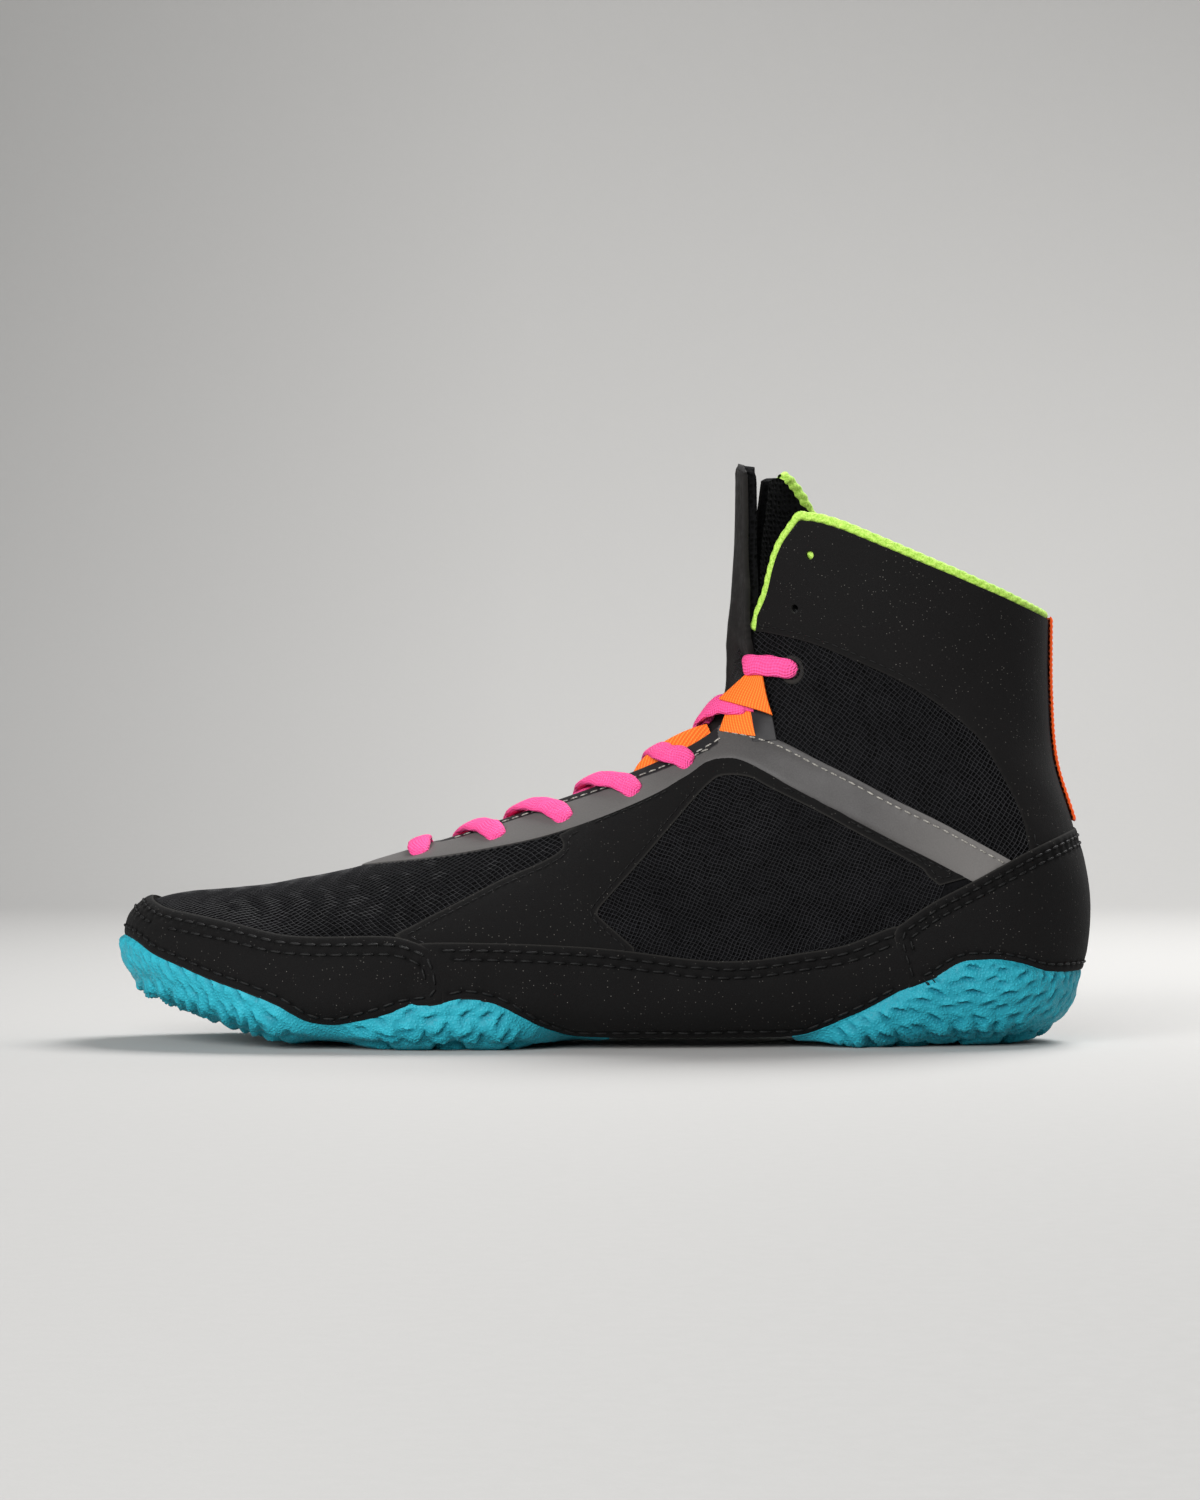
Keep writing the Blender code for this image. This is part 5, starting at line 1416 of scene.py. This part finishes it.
# Collar binding: a lime cord-like roll of twisted yarn, sewn over the raw edge of the outer
# flap and of the collar; on the inner flap it stops at the top, where the lining is turned over
# the edge. Its fold shows through the upper spare eyelets.
BINDING_RADIUS = 1.35
BINDING_STEP = 0.6
# Depth of the twist, strands, and length of one turn
BINDING_TWIST = (0.09, 3.0, 3.4)
INNER_BINDING_END = 0.66
FOLD = 0.5
FLAP_STATIONS = [15.2, 15.8, 16.4, 17.0, 17.6, 18.2, 18.7, 19.1, 19.45, 19.75, 20.0]


def swept(name, line, up, half_width, half_depth, columns=20, power=0.7, twist=None):
    """Grid wound round a line: a rounded band, its width square to the line and to up."""
    along = np.gradient(line, axis=0)
    along /= np.linalg.norm(along, axis=1, keepdims=True)
    sideways = np.cross(along, up)
    sideways /= np.linalg.norm(sideways, axis=1, keepdims=True)
    top = np.cross(sideways, along)
    turn = np.linspace(2.0 * math.pi, 0.0, columns + 1)
    ring = [np.sign(wave) * np.abs(wave) ** power for wave in (np.cos(turn), np.sin(turn))]
    swell = 1.0
    if twist is not None:
        depth, strands, length = twist
        run = run_along(line)[:, None]
        swell = 1.0 + depth * np.cos(strands * turn - 2.0 * math.pi * run / length)
    wide = np.broadcast_to(half_width, len(line))[:, None] * ring[0] * swell
    deep = np.broadcast_to(half_depth, len(line))[:, None] * ring[1] * swell
    points = line[:, None] + sideways[:, None] * wide[..., None] + top[:, None] * deep[..., None]
    made = add_grid(name, points)
    weld(made)
    return made


def resampled(line, step):
    """Line with points a step apart."""
    run = run_along(line)
    marks = np.linspace(0.0, run[-1], max(int(run[-1] / step), 8))
    return np.stack([np.interp(marks, run, line[:, axis]) for axis in range(line.shape[1])], axis=-1)


def rim_edge(station, angle, up, inward):
    """Point just outside the edge of the collar, where the binding's middle runs."""
    at = on_rim(np.asarray(station), np.asarray(angle))
    edge = skin(at, angle, -0.4)
    rise = skin(at + 0.05, angle, -0.4) - edge
    turn = skin(at, angle * 0.95, -0.4) - edge
    way = up * rise / np.linalg.norm(rise) + inward * turn / np.linalg.norm(turn)
    return edge + way * (BINDING_RADIUS - 0.15)


outer_front = []
for station in FLAP_STATIONS:
    flap_turn = abs(float(angle_at(station, -throat_gap(station, -1))))
    over = float(eased(station, 19.0, RIM + 0.2))
    outer_front.append(rim_edge(station, -flap_turn, over, 1.0 - 0.7 * over))
outer_rim = [rim_edge(RIM, -turn, 1.0, 0.0) for turn in np.linspace(flap_turn + 0.07, math.pi, 28)]
inner_rim = [rim_edge(RIM, turn, 1.0, 0.0)
             for turn in np.linspace(math.pi - 0.08, INNER_BINDING_END, 28)]
binding_finish, tree, shader = new_finish("lime_yarn", (0.38, 0.85, 0.02), 0.75)
place = node(tree, "TexCoord").outputs["Object"]
fuzz = noise(tree, place, 1500.0, 3.0, 0.65)
colour_by(tree, shader, (0.2, 0.44, 0.014), (0.56, 0.8, 0.15), spread(tree, fuzz, 0.3, 0.7, 0.0, 1.0))
raise_by(tree, shader, fuzz, 0.0003, 0.6)
line = resampled(smooth_line(outer_front + outer_rim + inner_rim), BINDING_STEP)
outside = line - (86.0, 0.0, 0.0)
outside[:, 2] = 0.0
run = np.arange(len(line)) * BINDING_STEP
ends = np.minimum(run, run[::-1])
ear = (line[:, 1] > 0.0) * eased(line[:, 2], 154.0, 160.0)
knob = np.exp(-((run - 1.5) / 1.5) ** 2)
half = BINDING_RADIUS * (1.0 + 0.7 * ear + 0.4 * knob) * (0.3 + 0.7 * eased(ends, 0.0, 1.6))
binding = swept("collar_binding_roll", line, outside, half, half, columns=22, power=1.0,
                twist=BINDING_TWIST)
binding.data.materials.append(binding_finish)
place_on(binding, "lime_binding", "collar_binding", angle=80.0)
station, share = SPARE_EYELETS[1]
for side, suffix in ((-1.0, "_lateral"), (1.0, "_medial")):
    eyelet = share * half_width_at(station, side)
    patch_stations, patch_across = np.meshgrid(
        np.linspace(station - 0.24, station + 0.24, 25),
        side * (eyelet + np.linspace(-2.6, 2.6, 25)), indexing="ij")
    off = np.hypot((patch_stations - station) * 10.0, np.abs(patch_across) - eyelet)
    bulge = 1.6 * np.exp(-(off / 1.3) ** 2)
    patch = skin(patch_stations, angle_at(patch_stations, patch_across), -1.5 + bulge)
    fold = add_grid("binding_fold" + suffix, patch if side > 0 else patch[:, ::-1])
    apply(fold, "SOLIDIFY", thickness=FOLD * MM, offset=0.0)
    fold.data.materials.append(binding_finish)
    place_on(fold, "lime_binding")


# Lace: one flat hot pink lace, woven as a tube and pressed flat. It runs from a bar between
# the front eyelets over the throat in crossings, through the ankle loops, and its ends go
# down through the top eyelets.
LACE_HALF_WIDTH = 3.4
LACE_HALF_DEPTH = 1.15
CROSSING_DROP = [0.34, 0.42, 0.46, 0.40]
LACE_STEP = 0.4
LACE_SLANT = 3.4
# Routes of station, distance across and lift: through the ankle loops, and into the top eyelets
LOOP_LACE = [
    (12.75, 15.5, 1.4), (12.55, 14.0, 2.0), (12.25, 11.2, 2.6), (11.90, 7.8, 2.3),
    (11.45, 3.2, 1.7), (11.10, -2.0, 0.3), (10.95, -6.0, -1.4),
]
LACE_END = [
    (15.17, 21.0, -0.8), (15.12, 20.5, 0.7), (14.95, 19.1, 1.9), (14.65, 17.1, 2.3),
    (14.27, 14.8, 2.4), (13.95, 12.4, 2.2), (13.75, 10.6, 1.2), (13.60, 10.2, -1.0),
]


def on_shoe(route):
    """Even line and normals for a route of station, distance across and lift."""
    marks = smooth_line(route, pieces=24)
    angles = angle_at(marks[:, 0], marks[:, 1])
    line = skin(marks[:, 0], angles, marks[:, 2])
    both = resampled(np.hstack([line, outward(marks[:, 0], angles)]), LACE_STEP)
    return both[:, :3], both[:, 3:]


def add_lace(name, routes, nodes, half_width=LACE_HALF_WIDTH, buried=2.4, blunt=0.4):
    """Lengths of lace along routes, joined into one piece.

    Each starts in an eyelet, buried for a few millimetres, and from there its end is rounded.
    """
    made = []
    for index, route in enumerate(routes):
        line, up = on_shoe(route)
        run = np.arange(len(line)) * LACE_STEP
        start = np.clip((run - buried) / 4.2, 0.0, 1.0)
        start = np.sqrt(1.0 - (1.0 - start) ** 2)
        end = eased(run[::-1], 0.0, 1.5)
        width = half_width * (blunt + (1.0 - blunt) * start) * (0.35 + 0.65 * end)
        width = width * (1.0 + 0.04 * np.sin(run * 0.9 + index))
        deep = LACE_HALF_DEPTH * (0.55 + 0.45 * end) * (1.15 - 0.15 * start)
        made.append(swept(name, line, up, width, deep, columns=20, power=0.8))
    lace = joined(made)
    lace.data.materials.append(lace_finish)
    place_on(lace, "lace_weave", *nodes, angle=80.0)


def crossing(station, share, drop, side, climb):
    """Route of a lace from one eyelet over the throat's edge to the far side of the throat."""
    gap = float(throat_gap(station, side))
    eyelet = share * float(half_width_at(station, side))
    return [(station, side * eyelet, -2.6), (station, side * (eyelet + 0.4), 0.9),
            (station - 0.26 * drop, side * (0.62 * eyelet + 0.38 * gap), 2.2),
            (station - 0.80 * drop, side * (gap + 0.2), 2.3 + 0.3 * climb),
            (station - 1.12 * drop, side * 0.45 * gap, 1.0 + climb),
            (station - 1.35 * drop, -side * 0.1 * gap, -0.2 + climb),
            (station - 1.50 * drop, -side * 0.62 * gap, -1.5),
            (station - 1.60 * drop, -side * (gap - 0.6), -2.4)]


lace_finish, tree, shader = new_finish("pink_lace", (0.9, 0.07, 0.28), 0.7, 0.2)
place = node(tree, "SeparateXYZ", None, Vector=node(tree, "TexCoord").outputs["UV"])
slants = []
for way in ("ADD", "SUBTRACT"):
    slant = maths(tree, way, place.outputs[0], place.outputs[1])
    slants.append(maths(tree, "SINE", maths(tree, "MULTIPLY", slant, LACE_SLANT)))
weave = maths(tree, "MULTIPLY_ADD", maths(tree, "MULTIPLY", *slants), 0.5, 0.5)
solid_place = node(tree, "TexCoord").outputs["Object"]
tone = maths(tree, "MULTIPLY_ADD", noise(tree, solid_place, 1300.0, 2.0), 0.5,
             maths(tree, "MULTIPLY", weave, 0.5))
colour_by(tree, shader, (0.8, 0.036, 0.18), (1.0, 0.135, 0.42), tone)
raise_by(tree, shader, weave, 0.0005, 0.8)
raise_by(tree, shader, noise(tree, solid_place, 2100.0, 2.0), 0.0002, 0.4)

station, share = LACED_EYELETS[0]
outer, inner = (share * float(half_width_at(station, side)) for side in (-1, 1))
bar = [(station, -outer, -2.4), (station, -outer - 0.4, 0.9), (station, -0.8 * outer, 2.3),
       (station, -0.4 * outer, 2.7), (station, 0.4 * inner, 2.7), (station, 0.8 * inner, 2.3),
       (station, inner + 0.4, 0.9), (station, inner, -2.4)]
add_lace("lace_bar_pink", [bar], ["lace_bar"], blunt=0.25)
for index, ((station, share), drop) in enumerate(zip(LACED_EYELETS[1:], CROSSING_DROP), 2):
    legs = [crossing(station, share, drop, -1, 0.6), crossing(station, share, drop, 1, -1.6)]
    add_lace("lace_crossing_%d" % index, legs, ["lace_cross_%d" % index])
add_lace("lace_crossing_6", [[(station, -across, lift) for station, across, lift in LOOP_LACE],
                             [(station, across, lift - 1.4) for station, across, lift in LOOP_LACE[:-1]]],
         ["lace_cross_6"])
for side, suffix in ((-1, "_lateral"), (1, "_medial")):
    end = [(station, side * across, lift) for station, across, lift in LACE_END]
    add_lace("lace_end" + suffix, [end], ["lace_top" + suffix], half_width=3.0, buried=0.0, blunt=0.2)


# Webbing: ribbed orange tape. A loop on each flap at the ankle carries the lace, its outer leg
# spread over its inner one, and a keeper strip runs up the outer half of the tongue. A small
# tab of the grey film closes the loop's foot.
WEBBING = 0.9
LOOP_OUTER = [(36.0, 97.8), (42.0, 106.6), (46.4, 106.4), (50.0, 94.4)]
LOOP_INNER = [(33.6, 90.0), (37.2, 98.0), (42.4, 98.0), (43.8, 88.5)]
LOOP_TAB = [(42.6, 87.0), (42.0, 97.0), (48.4, 96.5), (49.6, 87.5)]
# Lift of each sheet at its corners: foot, top, top and foot
OUTER_LIFTS = (4.3, 1.6, 1.6, 4.0)
INNER_LIFTS = (0.9, 1.4, 1.4, 0.9)
TAB_LIFTS = (0.7, 1.2, 1.2, 0.7)
TAB = 0.7
KEEPER_HALF = (3.0, 0.55)
KEEPER = [
    (9.62, -8.0, -3.5), (9.80, -7.5, -1.2), (10.10, -7.0, 0.2), (10.45, -6.5, 0.2),
    (10.80, -6.0, -0.9), (11.10, -6.0, -2.6),
]


def add_patch(name, corners, side, lifts, thickness, finish, slot, nodes=()):
    """Sheet between four corners seen from the side: foot, top, top and foot, each with a lift."""
    across, up = np.meshgrid(np.linspace(0.0, 1.0, 25), np.linspace(0.0, 1.0, 25))
    foot_left, top_left, top_right, foot_right = (np.array(corner) for corner in corners)
    flat = ((1 - across) * (1 - up))[..., None] * foot_left + ((1 - across) * up)[..., None] * top_left
    flat = flat + (across * up)[..., None] * top_right + (across * (1 - up))[..., None] * foot_right
    foot_lift = (1 - across) * lifts[0] + across * lifts[3]
    top_lift = (1 - across) * lifts[1] + across * lifts[2]
    bulge = 0.5 * np.sin(math.pi * across) * np.sin(math.pi * up)
    lift = (1 - up) * foot_lift + up * top_lift + bulge
    at_stations, at_angles = find_on_last(flat[..., 0], flat[..., 1], side)
    points = skin(at_stations, at_angles, lift)
    made = add_grid(name, points if side < 0 else points[:, ::-1])
    apply(made, "SOLIDIFY", thickness=thickness * MM, offset=0.0)
    apply(made, "BEVEL", width=0.25 * MM, segments=2, limit_method="ANGLE")
    made.data.materials.append(finish)
    place_on(made, slot, *nodes)


webbing_finish, tree, shader = new_finish("orange_webbing", (0.95, 0.2, 0.03), 0.65, 0.25)
place = node(tree, "SeparateXYZ", None, Vector=node(tree, "TexCoord").outputs["UV"])
slanted = maths(tree, "MULTIPLY_ADD", place.outputs[1], 0.55, place.outputs[0])
rib, step = (maths(tree, "MULTIPLY_ADD", maths(tree, "SINE", maths(tree, "MULTIPLY", way, pace)), 0.5, 0.5)
             for way, pace in ((slanted, 6.3), (place.outputs[1], 7.5)))
weave = maths(tree, "MULTIPLY", rib, maths(tree, "MULTIPLY_ADD", step, 0.5, 0.5))
colour_by(tree, shader, (0.84, 0.11, 0.008), (1.0, 0.28, 0.036), weave)
raise_by(tree, shader, weave, 0.0004, 0.6)

for side, suffix in ((-1.0, "_lateral"), (1.0, "_medial")):
    add_patch("webbing_loop_outer" + suffix, LOOP_OUTER, side, OUTER_LIFTS, WEBBING, webbing_finish,
              "webbing", ["lace_loop" + suffix])
    add_patch("webbing_loop_inner" + suffix, LOOP_INNER, side, INNER_LIFTS, WEBBING, webbing_finish,
              "webbing")
    add_patch("loop_tab" + suffix, LOOP_TAB, side, TAB_LIFTS, TAB, film_finish, "reflective_film")
line, up = on_shoe(KEEPER)
keeper = swept("tongue_keeper_strip", line, up + (0.0, -1.2, 0.0), *KEEPER_HALF, columns=20, power=0.5)
keeper.data.materials.append(webbing_finish)
place_on(keeper, "webbing", angle=60.0)


# Rings round the top eyelets: a soft black washer of microfibre on each side, where the net is
# pressed flat round the eyelet. The lace ends go down through them.
RING_RADIUS = 3.5
RING_HALF = 0.7
RING_FLATNESS = 0.6
RING_LIFT = 0.3
for station, angle in eyelet_places():
    if station != TOP_EYELET[0]:
        continue
    bpy.ops.object.select_all(action="DESELECT")
    bpy.ops.mesh.primitive_torus_add(major_radius=RING_RADIUS * MM, minor_radius=RING_HALF * MM,
                                     major_segments=40, minor_segments=12)
    ring = bpy.context.object
    ring.name = "eyelet_ring_lateral" if angle < 0.0 else "eyelet_ring_medial"
    turn = Vector(outward(np.asarray(station), angle)).to_track_quat("Z", "Y").to_matrix()
    middle = Vector(skin(station, angle, RING_LIFT)) * MM
    for corner in ring.data.vertices:
        corner.co.z *= RING_FLATNESS
        corner.co = turn @ corner.co + middle
    ring.data.materials.append(cuff_finish)
    place_on(ring, "upper_mesh", angle=80.0)
